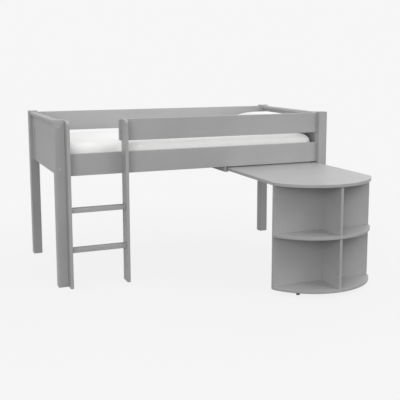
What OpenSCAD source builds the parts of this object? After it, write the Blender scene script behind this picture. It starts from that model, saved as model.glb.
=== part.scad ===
// Cabin bed: a raised single bed with a bolted ladder, a mattress and pillow, and a
// bow-fronted desk with shelves that pulls out from under it on runners and castors.
// Sizes in millimetres. +X runs along the bed from the ladder end, -Y is the ladder
// and desk side, +Z is up. The origin is on the floor, in the middle of the footprint
// that the bed takes with its desk pulled out. Inside the modules, X is measured from
// the outer face of the left posts and Y from the front plane of the posts.

/* [Bed frame] */
// Length over the outer faces of the posts
bed_l = 2072; // [2060:1:2200]
// Width over the front and back faces of the posts
bed_w = 1034; // [1034:1:1200]
// Side of the square posts
post_w = 66; // [62:1:74]
// How far the posts stand above the side rails
post_over = 8; // [2:1:30]
// Thickness of the four side rails
rail_t = 22; // [20:1:26]
// Height of the side rails
rail_h = 149; // [140:1:152]
// From the front plane of the posts back to the outer face of a side rail
rail_setback = 34; // [30:1:38]
// Underside of the lower side rails above the floor
rail_base_z = 749; // [720:1:800]
// Gap between a lower and an upper side rail
rail_gap = 75; // [60:1:75]
// Rounding of the long edges of posts and rails
edge_r = 3; // [1:0.5:5]

/* [End frames] */
// From the outer face of a post in to the outer face of the end frame
end_setback = 20; // [17:1:22]
// Thickness of the stiles and top rail
end_t = 20; // [18:1:22]
// Underside of the end frame above the underside of the side rails
end_raise = 4; // [0:1:20]
// Width of the cap rail
cap_w = 50; // [44:1:52]
// Thickness of the cap rail
cap_t = 22; // [18:1:26]
// Rounding of the cap rail's edges
cap_r = 4; // [1:0.5:6]
// Height of the top rail under the cap
end_rail_h = 88; // [80:1:110]
// Width of a stile
stile_w = 70; // [66:1:140]
// Thickness of the inset panel
inset_t = 12; // [9:1:14]
// How far the inset panel enters its grooves
groove_d = 8; // [5:1:12]

/* [Slatted base] */
// Thickness of the battens that carry the slats
ledger_t = 22; // [18:1:26]
// Height of those battens
ledger_h = 30; // [24:1:30]
// Top of the battens above the underside of the side rails
ledger_top = 46; // [46:1:60]
// Number of slats
slat_count = 14; // [10:1:17]
// Width of a slat
slat_w = 70; // [50:1:90]
// Thickness of a slat
slat_t = 18; // [14:1:22]
// Clearance at each end of a slat
slat_clear = 6; // [2:1:15]

/* [Mattress and pillow] */
// Clearance between the inner faces of the posts and each end of the mattress
mattress_end_gap = 20; // [12:1:60]
// Clearance between the inner face of a side rail and the mattress
mattress_side_gap = 11; // [6:1:40]
// Thickness of the mattress
mattress_t = 150; // [100:1:170]
// Rounding of the mattress's top and bottom edges, up to half its thickness
mattress_r = 64; // [20:1:68]
// How far the mattress's top rises from its edge to its middle
mattress_crown = 6; // [2:1:12]
// Size of the pillow across the bed
pillow_l = 740; // [600:1:800]
// Size of the pillow along the bed
pillow_w = 400; // [380:1:550]
// Thickness of the pillow at its middle
pillow_t = 142; // [80:1:160]
// How far the pillow's sides draw in between its corners
pillow_dip = 22; // [5:1:35]
// From the end frame to the pillow
pillow_gap = 6; // [5:1:90]
// Clearance under a soft piece
soft_gap = 0.3; // [0.2:0.1:0.5]

/* [Ladder] */
// Thickness of a stringer, along the bed
stringer_t = 21; // [18:1:26]
// Depth of a stringer, front to back
stringer_d = 96; // [94:1:120]
// Rounding of a stringer's top front corner
stringer_r = 25; // [10:1:40]
// Clear width between the stringers
ladder_w = 374; // [300:1:450]
// Depth of a rung
rung_d = 55; // [45:1:65]
// Thickness of a rung
rung_t = 30; // [24:1:36]
// Rounding of a rung's edges
rung_r = 4; // [2:1:8]
// From the front edge of the stringers back to the rungs
rung_inset = 27; // [20:1:28]
// Top of the lowest rung above the floor
rung_first_z = 268; // [220:1:300]
// From one rung to the next
rung_pitch = 271; // [220:1:280]
// How far the guard rail runs on past the right stringer
guard_overhang = 13; // [5:1:30]
// Rounding of the guard rail's free corners
guard_r = 12; // [4:1:25]

/* [Desk] */
// Width of the desktop, along the bed
desk_w = 744; // [680:1:800]
// From the front of the desktop to its back edge
desk_l = 1020; // [960:1:1100]
// How much of the desktop stays behind the front of the posts when pulled out
desk_tail = 114; // [100:1:118]
// Gap between the desktop and the side rail over it
desk_gap = 8; // [6:1:12]
// Thickness of the desktop
desk_t = 21; // [18:1:24]
// Radius of the bowed front
bow_r = 425; // [400:1:500]
// Radius of the front corners
desk_corner_r = 60; // [30:1:80]
// From the inner face of the right posts to the desktop
desk_side_gap = 6; // [4:1:8]
// Thickness of the back panel and the dividers
panel_t = 18; // [15:1:22]
// How much narrower the back panel is at each side than the desktop
panel_inset = 4; // [2:1:6]
// From the start of the desktop's straight sides forward to the back panel
panel_lead = 6.6; // [2:0.1:20]
// Thickness of the two shelves
shelf_t = 19; // [16:1:22]
// Underside of the bottom shelf above the floor
bottom_z = 30; // [29:1:36]
// Underside of the middle shelf above the floor
middle_z = 382; // [300:1:450]
// How far the divider stands to the right of the desk's middle
divider_shift = 9; // [-60:1:60]
// From the front edge of the shelves back to the divider
divider_recess = 8; // [2:1:15]
// Width of the stop batten on top of the desktop
batten_w = 21; // [15:1:24]
// Height of the stop batten
batten_h = 19; // [14:1:21]

/* [Desk runners] */
// Side clearance between a runner and the desktop
runner_gap = 3; // [2:0.5:4]
// Width of the left runner's upright part
left_cheek_w = 14; // [12:1:20]
// Width of the right runner's upright part
right_cheek_w = 30; // [30:1:34]
// Depth of the lip under the desktop's edge
lip_w = 15; // [12:1:18]
// Thickness of the lip
lip_t = 9.7; // [8:0.1:12]
// Running clearance between the lip and the desktop
lip_gap = 0.3; // [0.2:0.1:0.5]
// From the outer face of the front rail back to the left runner's front end
runner_inset = 11; // [6:1:16]

/* [Castors] */
// Diameter of a castor wheel
wheel_dia = 25; // [20:1:25]
// Width of a castor wheel
wheel_w = 20; // [8:1:24]
// Diameter of a castor's axle
axle_dia = 4; // [3:0.5:6]
// Radial clearance between axle and wheel
axle_gap = 0.05; // [0.02:0.01:0.1]
// From the middle of the desk to a castor
castor_x = 226; // [150:1:260]
// From the front of the desk back to the castors
castor_y = 143; // [135:1:160]
// Thickness of the castor bracket's steel
bracket_t = 2; // [1.5:0.1:3]

/* [Fasteners] */
// Shank diameter of the frame bolts
bolt_dia = 6; // [5:0.5:6.5]
// Shank length of the frame bolts
bolt_l = 100; // [95:1:110]
// Diameter of a frame bolt's head
bolt_head_dia = 14; // [12:1:16]
// Height of a frame bolt's head
bolt_head_h = 6; // [4:1:8]
// Depth of the counterbore for head and cap
counterbore_d = 11; // [9:1:14]
// Diameter of a cover cap
cap_disc_dia = 17; // [16:0.5:20]
// How far a cover cap stands proud
cap_dome = 1.2; // [0.5:0.1:2]
// Diameter of a barrel nut
nut_dia = 10; // [9:1:12]
// Length of a barrel nut
nut_l = 14; // [12:1:15]
// From the end of a rail to the middle of its barrel nut
nut_depth = 40; // [30:1:45]
// Lower end bolt above the underside of the side rails
end_bolt_raise = 54; // [46:1:58]
// Upper end bolt below the top of the side rails
end_bolt_drop = 44; // [40:1:52]
// Diameter of a wooden dowel
dowel_dia = 8; // [6:1:10]
// Length of a wooden dowel
dowel_l = 30; // [24:1:32]
// Distance of the dowels from the bolt between them
dowel_offset = 45; // [30:1:55]
// Clearance round a bolt, nut or cap in its hole
fit_gap = 0.2; // [0.1:0.05:0.4]
// Shank diameter of the wood screws
screw_dia = 4; // [3:0.5:5]
// Shank diameter of the ladder, rung and shelf screws
long_screw_dia = 5; // [4:0.5:6]
// Length of the ladder and rung screws
long_screw_l = 60; // [50:1:70]

/* [Hidden] */

$fn = 32;
paint = [0.60, 0.60, 0.60];
cloth = [0.95, 0.95, 0.94];
steel = [0.72, 0.73, 0.75];
birch = [0.84, 0.72, 0.54];
eps = 0.01;   // how far a cutting body runs past the face that it cuts

// The footprint runs from the front of the pulled-out desk to the caps on the back posts.
desk_out = desk_l - desk_tail;
origin_x = bed_l / 2;
origin_y = (bed_w + cap_dome - desk_out) / 2;

// Bed frame
inner_x0 = post_w;
inner_x1 = bed_l - post_w;
inner_y0 = post_w;
inner_y1 = bed_w - post_w;
upper_rail_z = rail_base_z + rail_h + rail_gap;
frame_top_z = upper_rail_z + rail_h;
post_h = frame_top_z + post_over;
rail_mid_y = rail_setback + rail_t / 2;
rail_in_y = rail_setback + rail_t;
lower_bolt_z = rail_base_z + rail_h / 2;
upper_bolt_z = upper_rail_z + rail_h / 2;

// End frames
end_mid = end_setback + end_t / 2;
end_base_z = rail_base_z + end_raise;
cap_z = frame_top_z - cap_t;
end_rail_z = cap_z - end_rail_h;
end_bolt_zs = [rail_base_z + end_bolt_raise, frame_top_z - end_bolt_drop];
cap_dowel_clear = 10;                     // past the middle of a stile, clear of its bolt
cap_dowel_ys = [stile_w / 2 + cap_dowel_clear, 290];   // from each post along the cap
stile_r = 1;                              // rounding of a stile's long edges
end_dowel_in = 26;                        // end dowels from the top rail's edges

// Slatted base
ledger_z = rail_base_z + ledger_top - ledger_h;
slat_z = rail_base_z + ledger_top;
slat_top = slat_z + slat_t;
slat_first_x = inner_x0 + mattress_end_gap;
slat_pitch = (bed_l - 2 * slat_first_x - slat_w) / (slat_count - 1);
slat_screw_l = slat_t + ledger_h * 0.45;
slat_r = 2;                               // rounding of a slat's long edges
slat_screw_shift = 3;                     // from the ledger's middle towards the mattress
slat_screw_y = rail_in_y + ledger_t / 2 + slat_screw_shift;
ledger_end_gap = 4;
ledger_screw_count = 7;
ledger_screw_in = 75;                     // first ledger screw from the post
ledger_screw_l = ledger_t + 14;

// Mattress
mattress_l = bed_l - 2 * (inner_x0 + mattress_end_gap);
mattress_w = bed_w - 2 * (rail_in_y + mattress_side_gap);
mattress_bulge = 2;                       // how far the side stands out at half height
mattress_corner_r = 34;                   // round corners seen from above
mattress_corner_least = 12;               // the same near the middle of the top
crown_margin = 15;                        // half width of the highest ring of the top
least_side = 4;                           // least straight part of the side, halved
mattress_edge = min(mattress_r, (mattress_t - mattress_crown) / 2 - least_side);
pillow_corner_r = 34;

// Ladder: the left stringer stands against the front left post
stringer_y0 = rail_setback - stringer_d;
right_stringer_x = post_w + stringer_t + ladder_w;
rung_y0 = stringer_y0 + rung_inset;
ladder_screw_offset = 25;
guard_x0 = right_stringer_x - guard_overhang;

// Desk
desk_top_z = rail_base_z - desk_gap;
desk_x1 = inner_x1 - desk_side_gap;
desk_x0 = desk_x1 - desk_w;
desk_mid_x = (desk_x0 + desk_x1) / 2;
desk_y0 = -desk_out;
desk_y1 = desk_y0 + desk_l;
desk_under_z = desk_top_z - desk_t;
bow_y = desk_y0 + bow_r;                 // centre of the bowed front
corner_run = desk_w / 2 - desk_corner_r;
corner_y = bow_y - sqrt(pow(bow_r - desk_corner_r, 2) - pow(corner_run, 2));
panel_y0 = corner_y - panel_lead;        // the straight sides begin at corner_y
panel_y1 = panel_y0 + panel_t;
divider_x = desk_mid_x + divider_shift;
divider_y0 = desk_y0 + divider_recess;
middle_top = middle_z + shelf_t;
bottom_top = bottom_z + shelf_t;
batten_gap = 0.3;                        // between batten and rail when pulled out
batten_y0 = rail_in_y + batten_gap;
batten_x_inset = 44;
divider_l = panel_y0 - divider_y0;
divider_dowel_ys = [panel_y0 - divider_l * 0.3, panel_y0 - divider_l * 0.75];
shelf_bite = 8;                          // how far a dowel enters a shelf
panel_bite = dowel_l / 2 - 2;            // how far a dowel enters the desktop
shelf_screw_l = 50;
divider_screw_in = 85;                   // screws of a divider from the shelf over or under it
batten_screw_l = desk_t + batten_h - 7;

// Runners
lip_z1 = desk_under_z - lip_gap;
runner_z0 = lip_z1 - lip_t;
left_runner_x0 = desk_x0 - runner_gap - left_cheek_w;
right_runner_x1 = desk_x1 + runner_gap + right_cheek_w;
left_runner_y0 = rail_setback + runner_inset;
left_runner_y1 = bed_w - left_runner_y0;
runner_screw_l = 60;
runner_dowel_xs = [inner_x1 + 8, inner_x1 + 20];

// Castors
castor_yc = desk_y0 + castor_y;
wheel_r = wheel_dia / 2;
cheek_gap = 1;                           // between a wheel and its bracket
bracket_w = 2 * (wheel_w / 2 + cheek_gap + bracket_t);
bracket_l = 34;
bracket_d = 12;
castor_screw_dia = 3;
castor_screw_l = 14;
castor_screw_y = 12;                     // from the axle

// Fasteners
nut_overrun = 1.5;                       // hole depth past the end of a barrel nut
dowel_half = dowel_l / 2;
head_ratio = 2;                          // a screw's head diameter in shank diameters

// ---- helpers ----

// Puts a module that is written in bed coordinates into the object's frame.
module place() { translate([-origin_x, -origin_y, 0]) children(); }

// Copies the children to the other end of the bed.
module at_right_end() { translate([bed_l, 0, 0]) mirror([1, 0, 0]) children(); }

// Copies the children to the back of the bed.
module at_back() { translate([0, bed_w, 0]) mirror([0, 1, 0]) children(); }

// A rectangle with round corners, its low corner at the origin.
module round_rect(w, h, r) {
    translate([r, 0]) square([w - 2 * r, h]);
    translate([0, r]) square([w, h - 2 * r]);
    for (x = [r, w - r], y = [r, h - r]) translate([x, y]) circle(r);
}

// Bars with rounded long edges, running along X, Y or Z from the low corner at p.
module bar_x(p, l, w, h, r) {
    translate(p) rotate([90, 0, 90]) linear_extrude(l) round_rect(w, h, r);
}
module bar_y(p, w, l, h, r) {
    translate([p[0], p[1] + l, p[2]]) rotate([90, 0, 0]) linear_extrude(l) round_rect(w, h, r);
}
module bar_z(p, w, d, h, r) { translate(p) linear_extrude(h) round_rect(w, d, r); }

// Cylinders along +X, +Y and +Z from the point p.
module rod_x(p, l, d) { translate(p) rotate([0, 90, 0]) cylinder(h = l, d = d); }
module rod_y(p, l, d) { translate(p) rotate([-90, 0, 0]) cylinder(h = l, d = d); }
module rod_z(p, l, d) { translate(p) cylinder(h = l, d = d); }

// A countersunk screw whose head lies flush at the origin and which points along -Z.
module wood_screw(d, l) {
    head_h = d * (head_ratio - 1) / 2;
    translate([0, 0, -l]) cylinder(h = l - head_h + eps, d = d);
    translate([0, 0, -head_h]) cylinder(h = head_h, d1 = d, d2 = d * head_ratio);
}

// ---- frame bolts: shared places ----

// Holes for one frame bolt, drilled along +Z from the outer face of a post at z = 0.
module bolt_hole() {
    translate([0, 0, -eps]) cylinder(h = counterbore_d + eps, d = cap_disc_dia + 2 * fit_gap);
    cylinder(h = 2 * bolt_l, d = bolt_dia + 2 * fit_gap);
}

// The bolt itself, its head on the floor of the counterbore, with a hex socket.
module frame_bolt() {
    socket_d = 4;
    socket_w = bolt_dia - 1;
    translate([0, 0, counterbore_d]) cylinder(h = bolt_l, d = bolt_dia);
    translate([0, 0, counterbore_d - bolt_head_h]) difference() {
        cylinder(h = bolt_head_h, d = bolt_head_dia);
        translate([0, 0, -eps]) cylinder(h = socket_d, d = socket_w, $fn = 6);
    }
}

// A cover cap: a disc in the mouth of the counterbore with a low dome in front.
module bolt_cap() {
    disc_h = counterbore_d - bolt_head_h;
    cylinder(h = disc_h, d = cap_disc_dia);
    translate([0, 0, -cap_dome])
        cylinder(h = cap_dome, d1 = cap_disc_dia - 4 * cap_dome, d2 = cap_disc_dia);
}

// Places along +Z of each frame bolt of one post: into the side rails, then the end frame.
// upper says whether the post carries an upper side rail as well as a lower one.
module post_bolts(upper) {
    rail_zs = upper ? [lower_bolt_z, upper_bolt_z] : [lower_bolt_z];
    for (z = rail_zs) translate([0, rail_mid_y, z]) rotate([0, 90, 0]) children();
    for (z = end_bolt_zs) translate([end_mid, 0, z]) rotate([-90, 0, 0]) children();
}

// The same for the whole bed.
module all_bolts() {
    post_bolts(false) children();
    at_right_end() post_bolts(true) children();
    at_back() post_bolts(true) children();
    at_back() at_right_end() post_bolts(true) children();
}

// Dowels along X between a rail's end and a post, at x = 0.
module rail_dowel_pair(z) {
    for (s = [-1, 1]) rod_x([-dowel_half, 0, z + s * dowel_offset], dowel_l, dowel_dia);
}

// ---- posts ----

module post(upper) {
    difference() {
        bar_z([0, 0, 0], post_w, post_w, post_h, edge_r);
        post_bolts(upper) bolt_hole();
        translate([post_w, rail_mid_y, 0]) {
            rail_dowel_pair(lower_bolt_z);
            if (upper) rail_dowel_pair(upper_bolt_z);
        }
    }
}

module front_left_post() { color(paint) place() post(false); }

module back_left_post() { color(paint) place() at_back() post(true); }

// The right posts also take the dowels of the right desk runner.
module right_post() {
    difference() {
        at_right_end() post(true);
        runner_dowel_rods();
    }
}

module front_right_post() { color(paint) place() right_post(); }

module back_right_post() {
    color(paint) place() difference() {
        at_back() at_right_end() post(true);
        runner_dowel_rods();
    }
}

// ---- side rails ----

// The holes in a rail's left end at x = 0, the rail's middle plane at y = 0: bolt,
// barrel nut, drilled from the inner face, and two dowels.
module rail_end_holes(z) {
    rod_x([-eps, 0, z], bolt_l - (post_w - counterbore_d) + nut_overrun, bolt_dia + 2 * fit_gap);
    rod_y([nut_depth, -nut_l / 2 - fit_gap, z], rail_t, nut_dia + 2 * fit_gap);
    rail_dowel_pair(z);
}

// A side rail from x0 to the right posts at height z, with its end holes.
module side_rail(x0, z) {
    difference() {
        bar_x([x0, rail_setback, z], inner_x1 - x0, rail_t, rail_h, edge_r);
        if (x0 == inner_x0) translate([x0, rail_mid_y, 0]) rail_end_holes(z + rail_h / 2);
        translate([inner_x1, rail_mid_y, 0]) mirror([1, 0, 0]) rail_end_holes(z + rail_h / 2);
    }
}

module lower_front_rail() {
    color(paint) place() difference() {
        side_rail(inner_x0, rail_base_z);
        ladder_screw_places() ladder_screw();
        ledger_screw_places() ledger_screw();
        runner_screw_places() runner_screw();
    }
}

// The guard rail starts just left of the right stringer, with two rounded corners.
module guard_rail() {
    color(paint) place() difference() {
        side_rail(guard_x0, upper_rail_z);
        translate([guard_x0, rail_setback - eps, upper_rail_z]) guard_corner_cut();
        translate([guard_x0, rail_setback - eps, frame_top_z]) mirror([0, 0, 1]) guard_corner_cut();
        ladder_screw_places() ladder_screw();
    }
}

// What a rounded corner of the guard rail leaves out of a square one.
module guard_corner_cut() {
    difference() {
        translate([-eps, 0, -eps]) cube([guard_r + eps, rail_t + 2 * eps, guard_r + eps]);
        rod_y([guard_r, -eps, guard_r], rail_t + 4 * eps, 2 * guard_r);
    }
}

module lower_back_rail() {
    color(paint) place() difference() {
        at_back() side_rail(inner_x0, rail_base_z);
        at_back() ledger_screw_places() ledger_screw();
        runner_screw_places() runner_screw();
    }
}

module upper_back_rail() { color(paint) place() at_back() side_rail(inner_x0, upper_rail_z); }

// ---- end frames ----

// The holes in the front end of a stile, drilled along +Y from the post.
module stile_bolt_holes() {
    for (z = end_bolt_zs) {
        rod_y([end_mid, inner_y0 - eps, z], bolt_l - (post_w - counterbore_d) + nut_overrun,
              bolt_dia + 2 * fit_gap);
        rod_x([end_mid - nut_l / 2 - fit_gap, inner_y0 + nut_depth, z], end_t, nut_dia + 2 * fit_gap);
    }
}

module end_dowel_rods() {
    for (z = [end_rail_z + end_dowel_in, cap_z - end_dowel_in])
        rod_y([end_mid, inner_y0 + stile_w - dowel_half, z], dowel_l, dowel_dia);
}

module cap_dowel_rods() {
    for (y = cap_dowel_ys) rod_z([end_mid, inner_y0 + y, cap_z - dowel_half], dowel_l, dowel_dia);
}

module front_stile() {
    difference() {
        bar_z([end_setback, inner_y0, end_base_z], end_t, stile_w, cap_z - end_base_z, stile_r);
        end_panel_board();
        stile_bolt_holes();
        end_dowel_rods();
        cap_dowel_rods();
    }
}

module end_stiles() {
    front_stile();
    at_back() front_stile();
}

module end_panel_board() {
    w = inner_y1 - inner_y0 - 2 * stile_w + 2 * groove_d;
    translate([end_mid - inset_t / 2, inner_y0 + stile_w - groove_d, end_base_z])
        cube([inset_t, w, end_rail_z + groove_d - end_base_z]);
}

module end_top_rail() {
    difference() {
        translate([end_setback, inner_y0 + stile_w, end_rail_z])
            cube([end_t, inner_y1 - inner_y0 - 2 * stile_w, end_rail_h]);
        end_panel_board();
        end_dowel_rods();
        at_back() end_dowel_rods();
        cap_dowel_rods();
        at_back() cap_dowel_rods();
    }
}

module end_cap() {
    difference() {
        bar_y([end_mid - cap_w / 2, inner_y0, cap_z], cap_w, inner_y1 - inner_y0, cap_t, cap_r);
        cap_dowel_rods();
        at_back() cap_dowel_rods();
    }
}

module left_end_cap() { color(paint) place() end_cap(); }
module left_end_top_rail() { color(paint) place() end_top_rail(); }
module left_end_stiles() { color(paint) place() end_stiles(); }
module left_end_panel() { color(paint) place() end_panel_board(); }
module right_end_cap() { color(paint) place() at_right_end() end_cap(); }
module right_end_top_rail() { color(paint) place() at_right_end() end_top_rail(); }
module right_end_stiles() { color(paint) place() at_right_end() end_stiles(); }
module right_end_panel() { color(paint) place() at_right_end() end_panel_board(); }

// ---- slatted base ----

// Children at each screw that holds the front ledger, from its inner face into the rail.
module ledger_screw_places() {
    x0 = inner_x0 + ledger_screw_in;
    pitch = (bed_l - 2 * x0) / (ledger_screw_count - 1);
    for (i = [0 : ledger_screw_count - 1])
        translate([x0 + i * pitch, rail_in_y + ledger_t, ledger_z + ledger_h * 0.3])
            rotate([-90, 0, 0]) children();
}

// Children at the front end of each slat, at its top face.
module slat_screw_places() {
    for (i = [0 : slat_count - 1])
        translate([slat_first_x + slat_w / 2 + i * slat_pitch, slat_screw_y, slat_top])
            children();
}

module ledger_screw() { wood_screw(screw_dia, ledger_screw_l); }
module slat_screw() { wood_screw(screw_dia, slat_screw_l); }

module ledger() {
    difference() {
        translate([inner_x0 + ledger_end_gap, rail_in_y, ledger_z])
            cube([bed_l - 2 * (inner_x0 + ledger_end_gap), ledger_t, ledger_h]);
        ledger_screw_places() ledger_screw();
        slat_screw_places() slat_screw();
    }
}

module front_ledger() { color(birch) place() ledger(); }
module back_ledger() { color(birch) place() at_back() ledger(); }

module slats() {
    color(birch) place() difference() {
        for (i = [0 : slat_count - 1])
            bar_y([slat_first_x + i * slat_pitch, rail_in_y + slat_clear, slat_z],
                  slat_w, bed_w - 2 * (rail_in_y + slat_clear), slat_t, slat_r);
        slat_screw_places() slat_screw();
        at_back() slat_screw_places() slat_screw();
    }
}

// ---- mattress and pillow ----

// A closed outline round the origin: a rectangle of half sizes a and b whose corners
// have radius r and whose sides draw in by dip at their middles. A side has 2k steps
// and a corner c steps, so the outline has 4 (2k + c) points.
side_steps = 4;
corner_steps = 6;
function side_curve(a, b, r, dip) = [
    for (i = [0 : 2 * side_steps - 1])
        let (t = i / side_steps - 1) [a - dip * (1 - t * t), t * (b - r)]
];
function corner_curve(a, b, r) = [
    for (i = [0 : corner_steps - 1])
        let (w = 90 * i / corner_steps) [a - r + r * cos(w), b - r + r * sin(w)]
];
function quarter(a, b, r, dip) = concat(side_curve(a, b, r, dip), corner_curve(a, b, r));
function turned(pts, n) = [
    for (p = pts) n == 0 ? p : n == 1 ? [-p[1], p[0]] : n == 2 ? [-p[0], -p[1]] : [p[1], -p[0]]
];
function outline(a, b, r, dip) = concat(
    turned(quarter(a, b, r, dip), 0), turned(quarter(b, a, r, dip), 1),
    turned(quarter(a, b, r, dip), 2), turned(quarter(b, a, r, dip), 3)
);

// A solid through rings of equal point counts, closed by a point at each end.
module ring_solid(rings, low, high) {
    n = len(rings[0]);
    m = len(rings);
    points = concat([low], [for (ring = rings, p = ring) p], [high]);
    last = n * m + 1;
    walls = [
        for (j = [0 : m - 2], i = [0 : n - 1])
            let (a = 1 + j * n + i, b = 1 + j * n + (i + 1) % n)
            each [[a, a + n, b], [b, a + n, b + n]]
    ];
    floor_fan = [for (i = [0 : n - 1]) [0, 1 + i, 1 + (i + 1) % n]];
    roof_fan = [for (i = [0 : n - 1]) [last, last - n + (i + 1) % n, last - n + i]];
    polyhedron(points, concat(floor_fan, walls, roof_fan));
}

// Rings of the mattress: the side rounds into top and bottom over a quarter circle, and
// bulges a little between. Inside the edge the top climbs to the crown.
function mattress_corner(inset) = max(mattress_corner_r - inset / 2, mattress_corner_least);
function mattress_ring(inset, z) = [
    for (p = outline(mattress_l / 2 - inset, mattress_w / 2 - inset, mattress_corner(inset), 0))
        [p[0], p[1], z]
];
edge_turns = [0, 22.5, 45, 67.5, 90];
mattress_rings = concat(
    [for (w = edge_turns)
        mattress_ring(mattress_bulge + mattress_edge * (1 - sin(w)), mattress_edge * (1 - cos(w)))],
    [mattress_ring(0, (mattress_t - mattress_crown) / 2)],
    [for (w = edge_turns)
        mattress_ring(mattress_bulge + mattress_edge * (1 - cos(w)),
                      mattress_t - mattress_crown - mattress_edge * (1 - sin(w)))],
    [for (s = [0.25, 0.5, 0.75])
        mattress_ring(mattress_edge + s * (mattress_w / 2 - mattress_edge - crown_margin),
                      mattress_t - mattress_crown * pow(1 - s, 2))]
);

module mattress() {
    color(cloth) place() translate([bed_l / 2, bed_w / 2, slat_top + soft_gap])
        ring_solid(mattress_rings, [0, 0, 0], [0, 0, mattress_t]);
}

// The pillow: rings that shrink towards its middle, on a flat underside, with a crown
// that falls away to a seam round the edge and sides that draw in between the corners.
pillow_seam_z = pillow_t * 0.3;
function pillow_ring(s, z) = [
    for (p = outline(s * pillow_w / 2, s * pillow_l / 2, s * pillow_corner_r, s * s * pillow_dip))
        [p[0], p[1], z]
];
pillow_under = [0.55, 0.72, 0.85, 0.94, 0.985];
pillow_over = [0.985, 0.95, 0.9, 0.82, 0.72, 0.6, 0.45, 0.3, 0.15];
pillow_flat = pillow_under[0];              // share of the pillow that lies flat
pillow_rise = pillow_t - pillow_seam_z;
pillow_spread = 2.5;                      // how far out the top stays high
pillow_fall = 0.8;                        // how steeply it then falls to the seam
pillow_rings = concat(
    [for (s = pillow_under)
        pillow_ring(s, pillow_seam_z * pow((s - pillow_flat) / (1 - pillow_flat), 2.2))],
    [pillow_ring(1, pillow_seam_z)],
    [for (s = pillow_over)
        pillow_ring(s, pillow_seam_z + pillow_rise * pow(1 - pow(s, pillow_spread), pillow_fall))]
);
pillow_x = bed_l - end_setback - end_t - pillow_gap - pillow_w / 2;
// The pillow lies where the crowned mattress meets the inner edge of its flat underside.
pillow_rest_in = bed_l - inner_x0 - mattress_end_gap - pillow_x + pillow_flat * pillow_w / 2;
crown_share = (pillow_rest_in - mattress_edge) / (mattress_w / 2 - mattress_edge - crown_margin);
pillow_drop = mattress_crown * pow(1 - max(0, min(1, crown_share)), 2);
pillow_z = slat_top + 2 * soft_gap + mattress_t - pillow_drop;

module pillow() {
    color(cloth) place() translate([pillow_x, bed_w / 2, pillow_z])
        ring_solid(pillow_rings, [0, 0, 0], [0, 0, pillow_t]);
}

// ---- ladder ----

// Children at the screws that hold the stringers to the side rails, driven from the
// rails' inner faces along -Y.
module ladder_screw_places() {
    left_x = post_w + stringer_t / 2;
    right_x = right_stringer_x + stringer_t / 2;
    spots = concat(
        [for (x = [left_x, right_x], s = [-1, 1]) [x, lower_bolt_z + s * ladder_screw_offset]],
        [for (s = [-1, 1]) [right_x, upper_bolt_z + s * ladder_screw_offset]]
    );
    for (p = spots) translate([p[0], rail_in_y, p[1]]) rotate([-90, 0, 0]) children();
}
module ladder_screw() { wood_screw(long_screw_dia, long_screw_l); }

// Children at the screws through a stringer into a rung, driven along +X at x = 0.
module rung_screw_places() {
    for (i = [0, 1], y = [rung_y0 + rung_d * 0.25, rung_y0 + rung_d * 0.75])
        translate([0, y, rung_first_z + i * rung_pitch - rung_t / 2]) rotate([0, -90, 0]) children();
}
module all_rung_screws() {
    translate([post_w, 0, 0]) rung_screw_places() wood_screw(long_screw_dia, long_screw_l);
    translate([right_stringer_x + stringer_t, 0, 0]) mirror([1, 0, 0])
        rung_screw_places() wood_screw(long_screw_dia, long_screw_l);
}

// A stringer: an upright board that runs from the floor to the top of the side rails,
// its back edge on the rails, its top front corner rounded.
module stringer(x) {
    difference() {
        translate([x, stringer_y0, 0]) rotate([90, 0, 90]) linear_extrude(stringer_t) {
            square([stringer_d, frame_top_z - stringer_r]);
            translate([stringer_r, 0]) square([stringer_d - stringer_r, frame_top_z]);
            translate([stringer_r, frame_top_z - stringer_r]) circle(stringer_r);
        }
        ladder_screw_places() ladder_screw();
        all_rung_screws();
    }
}

module left_stringer() { color(paint) place() stringer(post_w); }
module right_stringer() { color(paint) place() stringer(right_stringer_x); }

// Rung number i, counted from the floor.
module rung(i) {
    difference() {
        bar_x([post_w + stringer_t, rung_y0, rung_first_z + i * rung_pitch - rung_t],
              ladder_w, rung_d, rung_t, rung_r);
        all_rung_screws();
    }
}

module lower_rung() { color(paint) place() rung(0); }
module upper_rung() { color(paint) place() rung(1); }

// ---- desk runners ----

// Children at the screws that hold the left runner up against the lower side rails.
module runner_screw_places() {
    for (y = [rail_mid_y, bed_w - rail_mid_y])
        translate([left_runner_x0 + left_cheek_w / 2, y, runner_z0]) rotate([180, 0, 0]) children();
}
module runner_screw() { wood_screw(screw_dia, runner_screw_l); }

// Dowels that hold the ends of the right runner to the right posts.
module runner_dowel_rods() {
    for (x = runner_dowel_xs, y = [inner_y0, inner_y1])
        rod_y([x, y - dowel_half, (runner_z0 + rail_base_z) / 2], dowel_l, dowel_dia);
}

// The left runner: an upright part beside the desktop and a lip under its edge.
module left_runner() {
    color(paint) place() difference() {
        translate([left_runner_x0, left_runner_y0, 0]) {
            l = left_runner_y1 - left_runner_y0;
            translate([0, 0, runner_z0]) cube([left_cheek_w, l, rail_base_z - runner_z0]);
            translate([0, 0, runner_z0]) cube([left_cheek_w + lip_w, l, lip_t]);
        }
        runner_screw_places() runner_screw();
    }
}

// The right runner is the same the other way round, and fits between the right posts.
module right_runner() {
    color(paint) place() difference() {
        translate([right_runner_x1, inner_y0, runner_z0]) mirror([1, 0, 0]) {
            l = inner_y1 - inner_y0;
            cube([right_cheek_w, l, rail_base_z - runner_z0]);
            cube([right_cheek_w + lip_w, l, lip_t]);
        }
        runner_dowel_rods();
    }
}

// ---- fasteners of the bed ----

module frame_bolts() {
    color(steel) place() all_bolts() frame_bolt();
}

module bolt_caps() {
    color(paint) place() all_bolts() bolt_cap();
}

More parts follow.
